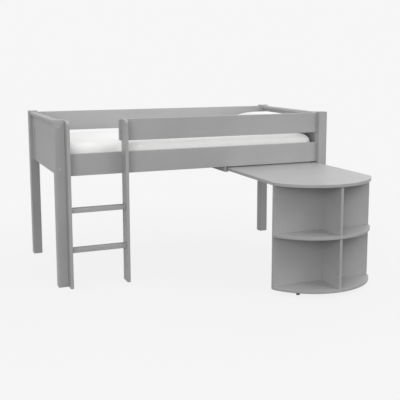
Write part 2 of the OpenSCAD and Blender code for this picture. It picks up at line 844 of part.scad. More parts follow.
// A barrel nut lies across the bolt at nut_depth past the post, with a hole for it.
module barrel_nut() {
    difference() {
        translate([0, 0, -nut_l / 2]) cylinder(h = nut_l, d = nut_dia);
        rotate([0, 90, 0]) translate([0, 0, -nut_dia])
            cylinder(h = 2 * nut_dia, d = bolt_dia + fit_gap / 2);
    }
}

module post_nuts(upper) {
    rail_zs = upper ? [lower_bolt_z, upper_bolt_z] : [lower_bolt_z];
    for (z = rail_zs) translate([post_w + nut_depth, rail_mid_y, z]) rotate([90, 0, 0]) barrel_nut();
    for (z = end_bolt_zs)
        translate([end_mid, post_w + nut_depth, z]) rotate([0, 90, 0]) rotate([0, 0, 90]) barrel_nut();
}

module barrel_nuts() {
    color(steel) place() {
        post_nuts(false);
        at_right_end() post_nuts(true);
        at_back() post_nuts(true);
        at_back() at_right_end() post_nuts(true);
    }
}

// Dowels of the rails at one post.
module post_rail_dowels(upper) {
    translate([post_w, rail_mid_y, 0]) {
        rail_dowel_pair(lower_bolt_z);
        if (upper) rail_dowel_pair(upper_bolt_z);
    }
}

module rail_dowels() {
    color(birch) place() {
        post_rail_dowels(false);
        at_right_end() post_rail_dowels(true);
        at_back() post_rail_dowels(true);
        at_back() at_right_end() post_rail_dowels(true);
    }
}

module both_ends() {
    children();
    at_back() children();
    at_right_end() children();
    at_back() at_right_end() children();
}

module end_dowels() { color(birch) place() both_ends() end_dowel_rods(); }
module cap_dowels() { color(birch) place() both_ends() cap_dowel_rods(); }

module ledger_screws() {
    color(steel) place() {
        ledger_screw_places() ledger_screw();
        at_back() ledger_screw_places() ledger_screw();
    }
}

module slat_screws() {
    color(steel) place() {
        slat_screw_places() slat_screw();
        at_back() slat_screw_places() slat_screw();
    }
}

module rung_screws() { color(steel) place() all_rung_screws(); }
module ladder_screws() { color(steel) place() ladder_screw_places() ladder_screw(); }
module runner_screws() { color(steel) place() runner_screw_places() runner_screw(); }
module runner_dowels() { color(birch) place() runner_dowel_rods(); }

// ---- desk ----

// The plan of the desktop: straight sides, two round corners and a bowed front.
module desk_plan() {
    reach = bow_r / (bow_r - desk_corner_r);
    touch = [corner_run * reach, (corner_y - bow_y) * reach];   // where bow and corner meet
    translate([desk_mid_x, 0]) {
        translate([-desk_w / 2, corner_y]) square([desk_w, desk_y1 - corner_y]);
        for (s = [-1, 1]) translate([s * corner_run, corner_y]) circle(desk_corner_r, $fn = 96);
        translate([0, bow_y]) intersection() {
            circle(bow_r, $fn = 240);
            polygon([[0, 0], [-2 * touch[0], 2 * touch[1]], [-2 * bow_r, -2 * bow_r],
                     [2 * bow_r, -2 * bow_r], [2 * touch[0], 2 * touch[1]]]);
        }
    }
}

// The plan of a shelf: the desktop's, as far back as the back panel.
module shelf_plan() {
    intersection() {
        desk_plan();
        translate([desk_x0 - eps, desk_y0 - eps]) square([desk_w + 2 * eps, panel_y0 - desk_y0 + eps]);
    }
}

// Dowels of the desktop: four into the back panel and one pair into the upper divider.
module desktop_dowels() {
    panel_xs = [for (s = [-0.42, -0.2, 0.2, 0.42]) desk_mid_x + s * desk_w];
    low_z = desk_under_z + panel_bite - dowel_l;
    for (x = panel_xs) rod_z([x, (panel_y0 + panel_y1) / 2, low_z], dowel_l, dowel_dia);
    for (y = divider_dowel_ys) rod_z([divider_x, y, low_z], dowel_l, dowel_dia);
}

// Dowels between the shelves and the dividers. Those over and under the middle shelf
// stand at different places, so that each has its own hole.
module divider_dowels() {
    shift = 2 * dowel_dia;
    for (y = divider_dowel_ys) {
        rod_z([divider_x, y, middle_top - shelf_bite], dowel_l, dowel_dia);
        rod_z([divider_x, y - shift, middle_z + shelf_bite - dowel_l], dowel_l, dowel_dia);
        rod_z([divider_x, y, bottom_top - shelf_bite], dowel_l, dowel_dia);
    }
}

// Screws through the back panel into the shelves and dividers, driven along -Y.
module shelf_screw_rods() {
    shelf_xs = [for (s = [-0.4, -0.15, 0.2, 0.4]) desk_mid_x + s * desk_w];
    divider_screw_zs = [for (z = [bottom_top, middle_top]) z + divider_screw_in,
                        for (z = [middle_z, desk_under_z]) z - divider_screw_in];
    spots = concat(
        [for (x = shelf_xs, z = [bottom_z, middle_z]) [x, z + shelf_t / 2]],
        [for (z = divider_screw_zs) [divider_x, z]]
    );
    for (p = spots)
        translate([p[0], panel_y1, p[1]]) rotate([-90, 0, 0]) wood_screw(long_screw_dia, shelf_screw_l);
}

// Screws up through the desktop into the stop batten.
module batten_screw_rods() {
    for (s = [-0.38, -0.13, 0.13, 0.38])
        translate([desk_mid_x + s * desk_w, batten_y0 + batten_w / 2, desk_under_z]) rotate([180, 0, 0])
            wood_screw(screw_dia, batten_screw_l);
}

module desktop() {
    color(paint) place() difference() {
        translate([0, 0, desk_under_z]) linear_extrude(desk_t) desk_plan();
        desktop_dowels();
        batten_screw_rods();
    }
}

// The back panel closes the shelves. It meets the left runner's front end when the desk
// is pushed in.
module shelf_back_panel() {
    color(paint) place() difference() {
        translate([desk_x0 + panel_inset, panel_y0, bottom_z])
            cube([desk_w - 2 * panel_inset, panel_t, desk_under_z - bottom_z]);
        desktop_dowels();
        shelf_screw_rods();
    }
}

// A divider board from z0 to z1.
module divider(z0, z1) {
    difference() {
        translate([divider_x - panel_t / 2, divider_y0, z0]) cube([panel_t, divider_l, z1 - z0]);
        desktop_dowels();
        divider_dowels();
        shelf_screw_rods();
    }
}

module upper_divider() { color(paint) place() divider(middle_top, desk_under_z); }
module lower_divider() { color(paint) place() divider(bottom_top, middle_z); }

module shelf(z) {
    difference() {
        translate([0, 0, z]) linear_extrude(shelf_t) shelf_plan();
        divider_dowels();
        shelf_screw_rods();
    }
}

module middle_shelf() { color(paint) place() shelf(middle_z); }

module bottom_shelf() {
    color(paint) place() difference() {
        shelf(bottom_z);
        castor_screw_rods();
    }
}

// The stop batten stands on the desktop behind the front rail, and meets that rail when
// the desk is pulled out.
module stop_batten() {
    color(paint) place() difference() {
        translate([desk_x0 + batten_x_inset, batten_y0, desk_top_z])
            cube([desk_w - 2 * batten_x_inset, batten_w, batten_h]);
        batten_screw_rods();
    }
}

module batten_screws() { color(steel) place() batten_screw_rods(); }
module shelf_screws() { color(steel) place() shelf_screw_rods(); }
module desk_dowels() {
    color(birch) place() {
        desktop_dowels();
        divider_dowels();
    }
}

// ---- castors ----

module castor_places() {
    for (s = [-1, 1]) translate([desk_mid_x + s * castor_x, castor_yc, 0]) children();
}

// Screws that hold the castor brackets up under the bottom shelf.
module castor_screw_rods() {
    castor_places() for (s = [-1, 1])
        translate([0, s * castor_screw_y, bottom_z - bracket_t]) rotate([180, 0, 0])
            wood_screw(castor_screw_dia, castor_screw_l);
}

// A bracket of bent steel: a plate under the shelf and a cheek at each side of the wheel.
module castor_bracket() {
    cheek_low = wheel_r - axle_dia;
    cheek_in = wheel_w / 2 + cheek_gap;
    difference() {
        union() {
            translate([-bracket_w / 2, -bracket_l / 2, bottom_z - bracket_t])
                cube([bracket_w, bracket_l, bracket_t]);
            for (x = [-bracket_w / 2, cheek_in])
                translate([x, -bracket_d / 2, cheek_low])
                    cube([bracket_t, bracket_d, bottom_z - cheek_low]);
        }
        rod_x([-bracket_w, 0, wheel_r], 2 * bracket_w, axle_dia + 2 * axle_gap);
    }
}

module castor_brackets() {
    color(steel) place() difference() {
        castor_places() castor_bracket();
        castor_screw_rods();
    }
}

// An axle with a head at each side that holds it in its bracket.
module castor_axles() {
    head_t = 1.5;
    color(steel) place() castor_places() {
        rod_x([-bracket_w / 2, 0, wheel_r], bracket_w, axle_dia);
        for (x = [-bracket_w / 2 - head_t, bracket_w / 2]) rod_x([x, 0, wheel_r], head_t, axle_dia * 1.7);
    }
}

module castor_screws() { color(steel) place() castor_screw_rods(); }

// A wheel with a running bore and a shallow dish in each face.
module castor_wheel(side) {
    dish_d = 1.5;
    hub_d = axle_dia * 2.2;
    color([0.1, 0.1, 0.1]) place() translate([desk_mid_x + side * castor_x, castor_yc, wheel_r])
        rotate([0, 90, 0]) difference() {
            cylinder(h = wheel_w, d = wheel_dia, center = true, $fn = 64);
            cylinder(h = wheel_w + 1, d = axle_dia + 2 * axle_gap, center = true);
            for (s = [-1, 1]) translate([0, 0, s * (wheel_w / 2 - dish_d / 2 + eps)]) difference() {
                cylinder(h = dish_d + 2 * eps, d = wheel_dia * 0.78, center = true);
                cylinder(h = dish_d + 1, d = hub_d, center = true);
            }
        }
}

module left_castor_wheel() { castor_wheel(-1); }
module right_castor_wheel() { castor_wheel(1); }

// ---- what is drawn ----

front_left_post();
front_right_post();
back_left_post();
back_right_post();
lower_front_rail();
guard_rail();
lower_back_rail();
upper_back_rail();
left_end_cap();
left_end_top_rail();
left_end_stiles();
left_end_panel();
right_end_cap();
right_end_top_rail();
right_end_stiles();
right_end_panel();
front_ledger();
back_ledger();
slats();
mattress();
pillow();
left_stringer();
right_stringer();
lower_rung();
upper_rung();
left_runner();
right_runner();
frame_bolts();
barrel_nuts();
bolt_caps();
rail_dowels();
end_dowels();
cap_dowels();
ledger_screws();
slat_screws();
rung_screws();
ladder_screws();
runner_screws();
runner_dowels();
desktop();
shelf_back_panel();
upper_divider();
lower_divider();
middle_shelf();
bottom_shelf();
stop_batten();
batten_screws();
desk_dowels();
shelf_screws();
castor_brackets();
castor_axles();
castor_screws();
left_castor_wheel();
right_castor_wheel();
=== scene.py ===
# %% [markdown]
# # A cabin bed with a ladder and a pull-out desk
# The bed is a raised single bed in satin grey paint. A ladder is screwed to its front,
# and a desk with round-fronted shelves rolls out from under it. The wooden pieces, the
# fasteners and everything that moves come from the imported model. This script gives them
# their finish, and models what a construction drawing leaves out: eased board edges, the
# swelling of a mattress and a pillow, and the turned shapes of caps and castors.

# %% Load the model
import math

import bmesh
import bpy
import numpy as np
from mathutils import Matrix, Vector


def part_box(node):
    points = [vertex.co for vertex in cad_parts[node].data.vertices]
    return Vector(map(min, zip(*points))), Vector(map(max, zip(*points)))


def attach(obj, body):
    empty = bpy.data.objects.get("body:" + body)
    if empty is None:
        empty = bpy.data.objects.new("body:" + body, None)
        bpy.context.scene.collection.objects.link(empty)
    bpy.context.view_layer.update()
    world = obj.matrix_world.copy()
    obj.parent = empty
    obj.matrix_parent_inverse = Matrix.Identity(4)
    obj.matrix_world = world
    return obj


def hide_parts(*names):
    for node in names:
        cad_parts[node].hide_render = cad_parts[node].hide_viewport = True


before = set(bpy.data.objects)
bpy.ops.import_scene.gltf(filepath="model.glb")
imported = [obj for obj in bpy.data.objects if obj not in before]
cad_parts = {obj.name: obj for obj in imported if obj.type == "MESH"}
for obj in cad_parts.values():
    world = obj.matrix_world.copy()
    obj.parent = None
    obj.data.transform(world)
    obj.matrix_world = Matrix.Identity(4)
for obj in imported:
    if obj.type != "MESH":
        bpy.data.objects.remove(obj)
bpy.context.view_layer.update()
MM = 0.001
X, Y, Z = 0, 1, 2

# %% [markdown]
# ## The camera
# The photograph looks down a little from the left of the bed's foot. A camera fit to the
# bed's own edges gave its place, its two angles and its focal length in pixels of a
# 400 by 400 image. A camera could be placed by eye instead, but then no edge would land
# on its pixel. The lens follows from that focal length, and a small shift puts the
# picture's middle where the photograph has it.

# %% Place the camera
IMAGE_SIDE = 400
FOCAL_PIXELS = 732.15
MIDDLE_PIXELS = (210.86, 169.13)
CAMERA_PLACE = (-1.9705, -4.8411, 1.5089)
TURN_TO_RIGHT = 23.171
TILT_DOWN = 8.376
SENSOR = 36.0
FARTHEST_SEEN = 200


def make_camera():
    """A camera whose lens is the focal length in pixels times the sensor per pixel."""
    data = bpy.data.cameras.new("photo_camera")
    data.sensor_width = SENSOR
    data.lens = FOCAL_PIXELS * SENSOR / IMAGE_SIDE
    data.shift_x = (IMAGE_SIDE / 2 - MIDDLE_PIXELS[0]) / IMAGE_SIDE
    data.shift_y = (MIDDLE_PIXELS[1] - IMAGE_SIDE / 2) / IMAGE_SIDE
    data.clip_end = FARTHEST_SEEN
    camera = bpy.data.objects.new("photo_camera", data)
    camera.location = CAMERA_PLACE
    camera.rotation_euler = (math.radians(90 - TILT_DOWN), 0, -math.radians(TURN_TO_RIGHT))
    bpy.context.scene.collection.objects.link(camera)
    bpy.context.scene.camera = camera
    return camera


camera = make_camera()
print("lens", round(camera.data.lens, 2), "shift", camera.data.shift_x, camera.data.shift_y)

# %% [markdown]
# ## Colours and nodes
# A colour is written as the sRGB hex value that the eye compares with the photograph,
# and one function turns it into the linear numbers that a shader works with. A second
# function adds any node with its settings and its links, so that a material reads as a
# short list of what feeds what.

# %% Colour and node helpers


def linear(hex_colour):
    """An sRGB hex colour as linear red, green, blue and an alpha of 1."""
    parts = np.array([int(hex_colour[i : i + 2], 16) for i in (1, 3, 5)]) / 255
    low, high = parts / 12.92, ((parts + 0.055) / 1.055) ** 2.4
    return (*np.where(parts <= 0.04045, low, high).tolist(), 1.0)


def add(tree, kind, settings=None, links=None):
    """Adds a node. A setting is a socket's value or a property, and a link feeds a socket."""
    node = tree.nodes.new("ShaderNode" + kind)
    for name, value in (settings or {}).items():
        if isinstance(name, str) and hasattr(node, name):
            setattr(node, name, value)
        else:
            node.inputs[name].default_value = value
    for name, source in (links or {}).items():
        tree.links.new(source, node.inputs[name])
    return node


def new_material(name):
    """An empty material with its tree, its output node and a vector of Object coordinates."""
    material = bpy.data.materials.new(name)
    material.use_nodes = True
    tree = material.node_tree
    tree.nodes.clear()
    output = tree.nodes.new("ShaderNodeOutputMaterial")
    place = tree.nodes.new("ShaderNodeTexCoord").outputs["Object"]
    return material, tree, output, place


# %% [markdown]
# ## Satin paint on wood
# The boards are smooth wood and fibreboard, sprayed or rolled with a water-based satin
# paint in a neutral mid grey. Up close such paint has a faint orange peel, the wood's
# grain telegraphs through as shallow streaks along the board, and its gloss is a little
# uneven. A picture of a painted board would show its edges and repeats, so this is made
# of noise. The material needs to know which way a board runs: noise that is stretched
# along that axis makes the streaks, and even noise makes the peel and the clouding.

# %% Paint
PAINT = "#a9a9a9"
PAINT_LIGHT = "#b1b1b1"
STREAK_WIDTH = 5 * MM  # real grain is finer; at this width it still shows from a step away
STREAK_LENGTH = 420 * MM
PEEL_WIDTH = 2.5 * MM
CLOUD_WIDTH = 260 * MM
STREAKS_IN_COLOUR = 0.6  # beside the clouding, which counts as 1
COLOUR_SPAN = (0.5, 1.1)  # the sum of the two that goes from the darker to the lighter paint
GLOSS_SPAN = (-0.05, 0.07)  # how far the clouding moves the roughness
PEEL_IN_HEIGHT = 0.35  # beside the streaks, which count as 1
PAINT_RELIEF = 0.05 * MM
BOARD_ROUGHNESS = 0.42
DESKTOP_ROUGHNESS = 0.38


def satin_paint(name, grain_axis, gloss_roughness):
    """Satin paint, an even dielectric coat: soft highlights and streaks along the grain."""
    material, tree, output, place = new_material(name)
    stretch = [1 / STREAK_WIDTH] * 3
    stretch[grain_axis] = 1 / STREAK_LENGTH
    along = add(tree, "Mapping", {"Scale": stretch}, {"Vector": place})
    streaks = add(
        tree,
        "TexNoise",
        {"Scale": 1.0, "Detail": 3.0, "Roughness": 0.55},
        {"Vector": along.outputs["Vector"]},
    )
    clouds = add(tree, "TexNoise", {"Scale": 1 / CLOUD_WIDTH, "Detail": 2.0}, {"Vector": place})
    peel = add(tree, "TexNoise", {"Scale": 1 / PEEL_WIDTH, "Detail": 1.0}, {"Vector": place})
    both = add(
        tree,
        "Math",
        {"operation": "MULTIPLY_ADD", 1: STREAKS_IN_COLOUR},
        {0: streaks.outputs["Fac"], 2: clouds.outputs["Fac"]},
    )
    share = add(
        tree,
        "MapRange",
        {"From Min": COLOUR_SPAN[0], "From Max": COLOUR_SPAN[1]},
        {"Value": both.outputs[0]},
    )
    colour = add(
        tree,
        "Mix",
        {"data_type": "RGBA", 6: linear(PAINT), 7: linear(PAINT_LIGHT)},
        {0: share.outputs["Result"]},
    )
    rough = add(
        tree,
        "MapRange",
        {"To Min": gloss_roughness + GLOSS_SPAN[0], "To Max": gloss_roughness + GLOSS_SPAN[1]},
        {"Value": clouds.outputs["Fac"]},
    )
    height = add(
        tree,
        "Math",
        {"operation": "MULTIPLY_ADD", 1: PEEL_IN_HEIGHT},
        {0: peel.outputs["Fac"], 2: streaks.outputs["Fac"]},
    )
    bump = add(
        tree, "Bump", {"Strength": 0.25, "Distance": PAINT_RELIEF}, {"Height": height.outputs[0]}
    )
    skin = add(
        tree,
        "BsdfPrincipled",
        {"IOR": 1.5},
        {
            "Base Color": colour.outputs[2],
            "Roughness": rough.outputs["Result"],
            "Normal": bump.outputs["Normal"],
        },
    )
    tree.links.new(skin.outputs[0], output.inputs["Surface"])
    return material


PAINT_ALONG = [
    satin_paint("Satin_paint_grain_" + "XYZ"[axis], axis, BOARD_ROUGHNESS) for axis in (X, Y, Z)
]
TOP_PAINT = satin_paint("Satin_paint_desktop", Y, DESKTOP_ROUGHNESS)
print("paints", [m.name for m in PAINT_ALONG + [TOP_PAINT]])

# %% [markdown]
# ## Bare softwood
# The slats and the battens under them are planed pine, left bare because nobody sees
# them. Pine shows pale early wood with darker, narrower late-wood bands. Noise alone
# would give clouds and no bands, so slanting bands of a wave texture, distorted and drawn
# out along the board, give that figure, and fine noise gives the fibres.

# %% Pine
PINE_PALE = "#dcbc8e"
PINE_DARK = "#b98f5c"
RING_WIDTH = 14 * MM
DRAWN_OUT = 0.06  # the pattern along the grain, as a share of its rate across it
CLOUDS_PER_METRE = 9.0
FIBRES_PER_METRE = 380.0  # coarser than real fibres, which would not show
LATE_WOOD_START = 0.45  # where in a band the late wood begins
LATE_WOOD_DEPTH = 0.85
CLOUDS_IN_COLOUR = 0.25
PINE_RELIEF = 0.2 * MM


def bare_pine(name, grain_axis):
    """Planed pine: a dull, warm surface with long dark bands along the grain."""
    material, tree, output, place = new_material(name)
    stretch = [1.0, 1.0, 1.0]
    stretch[grain_axis] = DRAWN_OUT
    along = add(tree, "Mapping", {"Scale": stretch}, {"Vector": place})
    clouds = add(
        tree,
        "TexNoise",
        {"Scale": CLOUDS_PER_METRE, "Detail": 2.0},
        {"Vector": along.outputs["Vector"]},
    )
    rings = add(
        tree,
        "TexWave",
        {
            "bands_direction": "DIAGONAL",
            "Scale": 0.1 / RING_WIDTH,
            "Distortion": 9.0,
            "Detail": 2.0,
            "Detail Scale": 1.2,
        },
        {"Vector": along.outputs["Vector"]},
    )
    fibres = add(
        tree,
        "TexNoise",
        {"Scale": FIBRES_PER_METRE, "Detail": 2.0},
        {"Vector": along.outputs["Vector"]},
    )
    late = add(
        tree,
        "MapRange",
        {"From Min": LATE_WOOD_START, "From Max": 1.0, "To Max": LATE_WOOD_DEPTH},
        {"Value": rings.outputs["Fac"]},
    )
    mixed = add(
        tree,
        "Math",
        {"operation": "MULTIPLY_ADD", 1: CLOUDS_IN_COLOUR},
        {0: clouds.outputs["Fac"], 2: late.outputs["Result"]},
    )
    colour = add(
        tree,
        "Mix",
        {"data_type": "RGBA", 6: linear(PINE_PALE), 7: linear(PINE_DARK)},
        {0: mixed.outputs[0]},
    )
    bump = add(
        tree, "Bump", {"Strength": 0.3, "Distance": PINE_RELIEF}, {"Height": fibres.outputs["Fac"]}
    )
    skin = add(
        tree,
        "BsdfPrincipled",
        {"Roughness": 0.62, "IOR": 1.5},
        {"Base Color": colour.outputs[2], "Normal": bump.outputs["Normal"]},
    )
    tree.links.new(skin.outputs[0], output.inputs["Surface"])
    return material


PINE_ALONG_X = bare_pine("Bare_pine_grain_X", X)
PINE_ALONG_Y = bare_pine("Bare_pine_grain_Y", Y)
print("pines", PINE_ALONG_X.name, PINE_ALONG_Y.name)

# %% [markdown]
# ## Cloth
# The mattress has a white woven cover and the pillow a white cotton case. Both are dull,
# with a soft sheen of loose fibres at grazing angles. Sines of the three coordinates add
# up to a grid of threads on any face, whichever way it points, so the weave needs no UV
# map. A real thread is about half a millimetre; these are drawn a few times coarser.

# %% Woven cloth
COVER_WHITE = "#f2f2f1"
COVER_CREASE_SHADE = "#ececeb"
CASE_WHITE = "#eeeeed"
CASE_CREASE_SHADE = "#e8e8e7"
COVER_THREAD = 3.2 * MM
CASE_THREAD = 1.8 * MM
COVER_CREASE = 130 * MM
CASE_CREASE = 70 * MM
WEAVE_RELIEF = 0.15 * MM
CREASE_RELIEF = 2.5 * MM


def woven_cloth(name, white, crease_shade, thread, crease):
    """Plain weave: the bump is a grid of threads, over soft creases of width crease, whose hollows
    take the darker colour as painted shade.
    """
    material, tree, output, place = new_material(name)
    scaled = add(
        tree,
        "VectorMath",
        {"operation": "SCALE", "Scale": 2 * math.pi / thread},
        {0: place},
    )
    waves = add(tree, "VectorMath", {"operation": "SINE"}, {0: scaled.outputs["Vector"]})
    total = add(
        tree,
        "VectorMath",
        {"operation": "DOT_PRODUCT", 1: (1.0, 1.0, 1.0)},
        {0: waves.outputs["Vector"]},
    )
    folds = add(
        tree,
        "TexNoise",
        {"Scale": 1 / crease, "Detail": 3.0, "Roughness": 0.5, "Distortion": 0.6},
        {"Vector": place},
    )
    # painted shade: the crease hollows, low in the same noise as the crease bump, take the darker
    # tone
    colour = add(
        tree,
        "Mix",
        {"data_type": "RGBA", 6: linear(crease_shade), 7: linear(white)},
        {0: folds.outputs["Fac"]},
    )
    weave = add(
        tree,
        "Bump",
        {"Strength": 0.25, "Distance": WEAVE_RELIEF},
        {"Height": total.outputs["Value"]},
    )
    relief = add(
        tree,
        "Bump",
        {"Strength": 0.35, "Distance": CREASE_RELIEF},
        {"Height": folds.outputs["Fac"], "Normal": weave.outputs["Normal"]},
    )
    skin = add(
        tree,
        "BsdfPrincipled",
        {"Roughness": 0.9, "IOR": 1.45, "Sheen Weight": 0.15, "Sheen Roughness": 0.5},
        {"Base Color": colour.outputs[2], "Normal": relief.outputs["Normal"]},
    )
    tree.links.new(skin.outputs[0], output.inputs["Surface"])
    return material


COVER_CLOTH = woven_cloth(
    "Woven_mattress_cover", COVER_WHITE, COVER_CREASE_SHADE, COVER_THREAD, COVER_CREASE
)
CASE_CLOTH = woven_cloth("Cotton_pillow_case", CASE_WHITE, CASE_CREASE_SHADE, CASE_THREAD, CASE_CREASE)
print("cloths", COVER_CLOTH.name, CASE_CLOTH.name)

# %% [markdown]
# ## Metal, plastic and rubber
# The screws and bolts are zinc-plated steel, bright but slightly clouded. The cover caps
# are moulded plastic in a grey lighter than the paint, a painted highlight that stands for
# the glint on each small dome. The castors have coated black brackets and dark rubber
# tyres. One function serves all four, because each is an even stuff whose only detail is a
# fine mottling of its colour, gloss and height.

# %% Small hardware materials
GLOSS_SPREAD = 0.08
MOTTLE_RELIEF = 0.05 * MM


def mottled(name, colour, darker, grain, roughness, skin_values):
    """An even solid whose colour, gloss and height vary over spots of size grain."""
    material, tree, output, place = new_material(name)
    spots = add(tree, "TexNoise", {"Scale": 1 / grain, "Detail": 3.0}, {"Vector": place})
    mix = add(
        tree,
        "Mix",
        {"data_type": "RGBA", 6: linear(darker), 7: linear(colour)},
        {0: spots.outputs["Fac"]},
    )
    rough = add(
        tree,
        "MapRange",
        {"To Min": roughness - GLOSS_SPREAD, "To Max": roughness + GLOSS_SPREAD},
        {"Value": spots.outputs["Fac"]},
    )
    bump = add(
        tree, "Bump", {"Strength": 0.2, "Distance": MOTTLE_RELIEF}, {"Height": spots.outputs["Fac"]}
    )
    skin = add(
        tree,
        "BsdfPrincipled",
        skin_values,
        {
            "Base Color": mix.outputs[2],
            "Roughness": rough.outputs["Result"],
            "Normal": bump.outputs["Normal"],
        },
    )
    tree.links.new(skin.outputs[0], output.inputs["Surface"])
    return material


ZINC = mottled("Zinc_plated_steel", "#c8cbcf", "#aeb2b7", 3 * MM, 0.34, {"Metallic": 1.0})
# the caps' light grey is a painted highlight: it stands for the glint on each small dome
CAP_PLASTIC_PAINTED_HIGHLIGHT = mottled("Cap_plastic_painted_highlight", "#c8c8c8", "#bebebe", 2 * MM, 0.2, {"IOR": 1.5})
BLACK_COAT = mottled("Black_coated_steel", "#2a2a2b", "#1d1d1e", 1 * MM, 0.45, {"IOR": 1.5})
TYRE_RUBBER = mottled("Dark_moulded_rubber", "#242424", "#181818", 1 * MM, 0.65, {"IOR": 1.52})
print("hardware", [m.name for m in (ZINC, CAP_PLASTIC_PAINTED_HIGHLIGHT, BLACK_COAT, TYRE_RUBBER)])

# %% [markdown]
# ## Surfaces from arrays
# The bowed boards, the caps, the wheels and the soft pieces start as grids of points that
# are worked out at once, with the ends closed or the rows joined in a ring. The other
# painted boards start as copies of the drawn ones. A loop over points would make the same
# meshes, but whole arrays are shorter to read and quicker. One function finds the separate
# solids in a node of many, by giving each point the lowest number that its neighbours
# share until nothing changes. Another keeps wide faces flat: a smooth normal is an
# average, and next to a small rounding it would tilt at the rim of a board's face and
# spread a false gradient over all of it.

# %% Mesh helpers
SAME_POINT = 1e-6
SAME_PLANE = math.radians(0.2)
ONLY_BY_AREA = 100  # the weighting's strongest setting


def mesh_object(name, points, faces, smooth=True):
    """A mesh object at the origin from an array of points and a list of faces."""
    mesh = bpy.data.meshes.new(name)
    mesh.from_pydata(np.asarray(points).tolist(), [], faces)
    mesh.validate()
    mesh.polygons.foreach_set("use_smooth", np.full(len(mesh.polygons), smooth))
    made = bpy.data.objects.new(name, mesh)
    bpy.context.scene.collection.objects.link(made)
    return made


def grid_faces(rows, columns, closed_rows=False):
    """Quads between rows that go round: a point's number is row times columns plus column."""
    i = np.arange(rows if closed_rows else rows - 1)[:, None] * columns
    j = np.arange(columns)[None, :]
    k = (j + 1) % columns
    up = (i + columns) % (rows * columns)
    return np.stack([i + j, i + k, up + k, up + j], axis=-1).reshape(-1, 4).tolist()


def merged_mesh(node):
    """A copy of a node's mesh, merged and with its flat faces joined, as a new mesh."""
    work = bmesh.new()
    work.from_mesh(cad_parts[node].data)
    bmesh.ops.remove_doubles(work, verts=work.verts, dist=SAME_POINT)
    bmesh.ops.dissolve_limit(work, angle_limit=SAME_PLANE, verts=work.verts, edges=work.edges)
    mesh = bpy.data.meshes.new(node + "_merged")
    work.to_mesh(mesh)
    work.free()
    return mesh


def mesh_points(mesh):
    """The points of a mesh as an array."""
    points = np.zeros(len(mesh.vertices) * 3)
    mesh.vertices.foreach_get("co", points)
    return points.reshape(-1, 3)


def points_and_edges(mesh):
    """The points of a mesh and the two point numbers of each edge, as arrays."""
    edges = np.zeros(len(mesh.edges) * 2, int)
    mesh.edges.foreach_get("vertices", edges)
    return mesh_points(mesh), edges.reshape(-1, 2)


def node_box(node):
    """The lowest and the highest corner of a node, as arrays."""
    low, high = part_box(node)
    return np.array(low), np.array(high)


def solid_labels(point_count, edges):
    """For each point, the lowest number of any point that it hangs together with."""
    label = np.arange(point_count)
    while True:
        lowest = label.copy()
        np.minimum.at(lowest, edges[:, 0], label[edges[:, 1]])
        np.minimum.at(lowest, edges[:, 1], label[edges[:, 0]])
        lowest = lowest[lowest]
        if np.array_equal(lowest, label):
            return label
        label = lowest


def keep_faces_flat(piece):
    """Weights each point's normal by face area, so a wide flat face is shaded as flat."""
    weighted = piece.modifiers.new("flat_faces", "WEIGHTED_NORMAL")
    weighted.mode = "FACE_AREA"
    weighted.weight = ONLY_BY_AREA
    weighted.keep_sharp = True


def solid_boxes(node):
    """The lowest and highest corner of each separate solid of a node."""
    points, edges = points_and_edges(merged_mesh(node))
    label = solid_labels(len(points), edges)
    return [(points[label == n].min(0), points[label == n].max(0)) for n in np.unique(label)]


# %% [markdown]
# ## Eased boards
# A painted board never has a knife edge: its arrises are broken with sandpaper, or the
# paint would chip there, and that thin round is what catches the light along each board.
# The drawn boards have sharp ends. A bevel on every sharp edge would also widen the mouths
# of the drilled holes, so a merged copy of each board gets one on the edges of its own
# outer box alone. Blender's clamp on overlaps narrows the bevel of a whole board that has
# too little room somewhere, here to 0.5 mm on the stringers and 0.1 on the runners.

# %% Ease the painted boards
EASE = 1.2 * MM
EASE_STEPS = 3
ON_PLANE = 1e-5
NEAR_EDGE = 3.4 * MM  # a little more than the 3 mm rounding of the posts' and rails' long edges
SHARP = math.radians(35)
SLIVER = 0.02 * MM  # beside a drilled hole the ease can shrink to slivers this wide


def outer_arrises(mesh):
    """Marks an edge if it lies in an outer plane of its solid and close to a second one."""
    points, edges = points_and_edges(mesh)
    label = solid_labels(len(points), edges)
    low, high = np.zeros_like(points), np.zeros_like(points)
    for n in np.unique(label):
        own = label == n
        low[own], high[own] = points[own].min(0), points[own].max(0)
    gap = np.concatenate([points - low, high - points], axis=1)
    on_plane, near_plane = gap < ON_PLANE, gap < NEAR_EDGE
    both_on = on_plane[edges[:, 0]] & on_plane[edges[:, 1]]
    both_near = near_plane[edges[:, 0]] & near_plane[edges[:, 1]]
    return both_on.any(axis=1) & (both_near.sum(axis=1) >= 2)


def eased_board(node, material, body):
    """Replaces a node by its merged copy with eased outer edges and that material."""
    mesh = merged_mesh(node)
    marked = outer_arrises(mesh)
    work = bmesh.new()
    work.from_mesh(mesh)
    work.edges.ensure_lookup_table()
    weight = work.edges.layers.float.new("bevel_weight_edge")
    for index in np.flatnonzero(marked):
        edge = work.edges[index]
        if edge.is_manifold and edge.calc_face_angle() > SHARP:
            edge[weight] = 1.0
    work.to_mesh(mesh)
    work.free()
    mesh.polygons.foreach_set("use_smooth", np.ones(len(mesh.polygons), bool))
    mesh.set_sharp_from_angle(angle=SHARP)
    made = bpy.data.objects.new(node + "_board", mesh)
    bpy.context.scene.collection.objects.link(made)
    bevel = made.modifiers.new("eased_edges", "BEVEL")
    bevel.limit_method = "WEIGHT"
    bevel.width = EASE
    bevel.segments = EASE_STEPS
    weld = made.modifiers.new("no_slivers", "WELD")
    weld.merge_threshold = SLIVER
    keep_faces_flat(made)
    mesh.materials.clear()
    mesh.materials.append(material)
    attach(made, body)
    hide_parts(node)
    return made


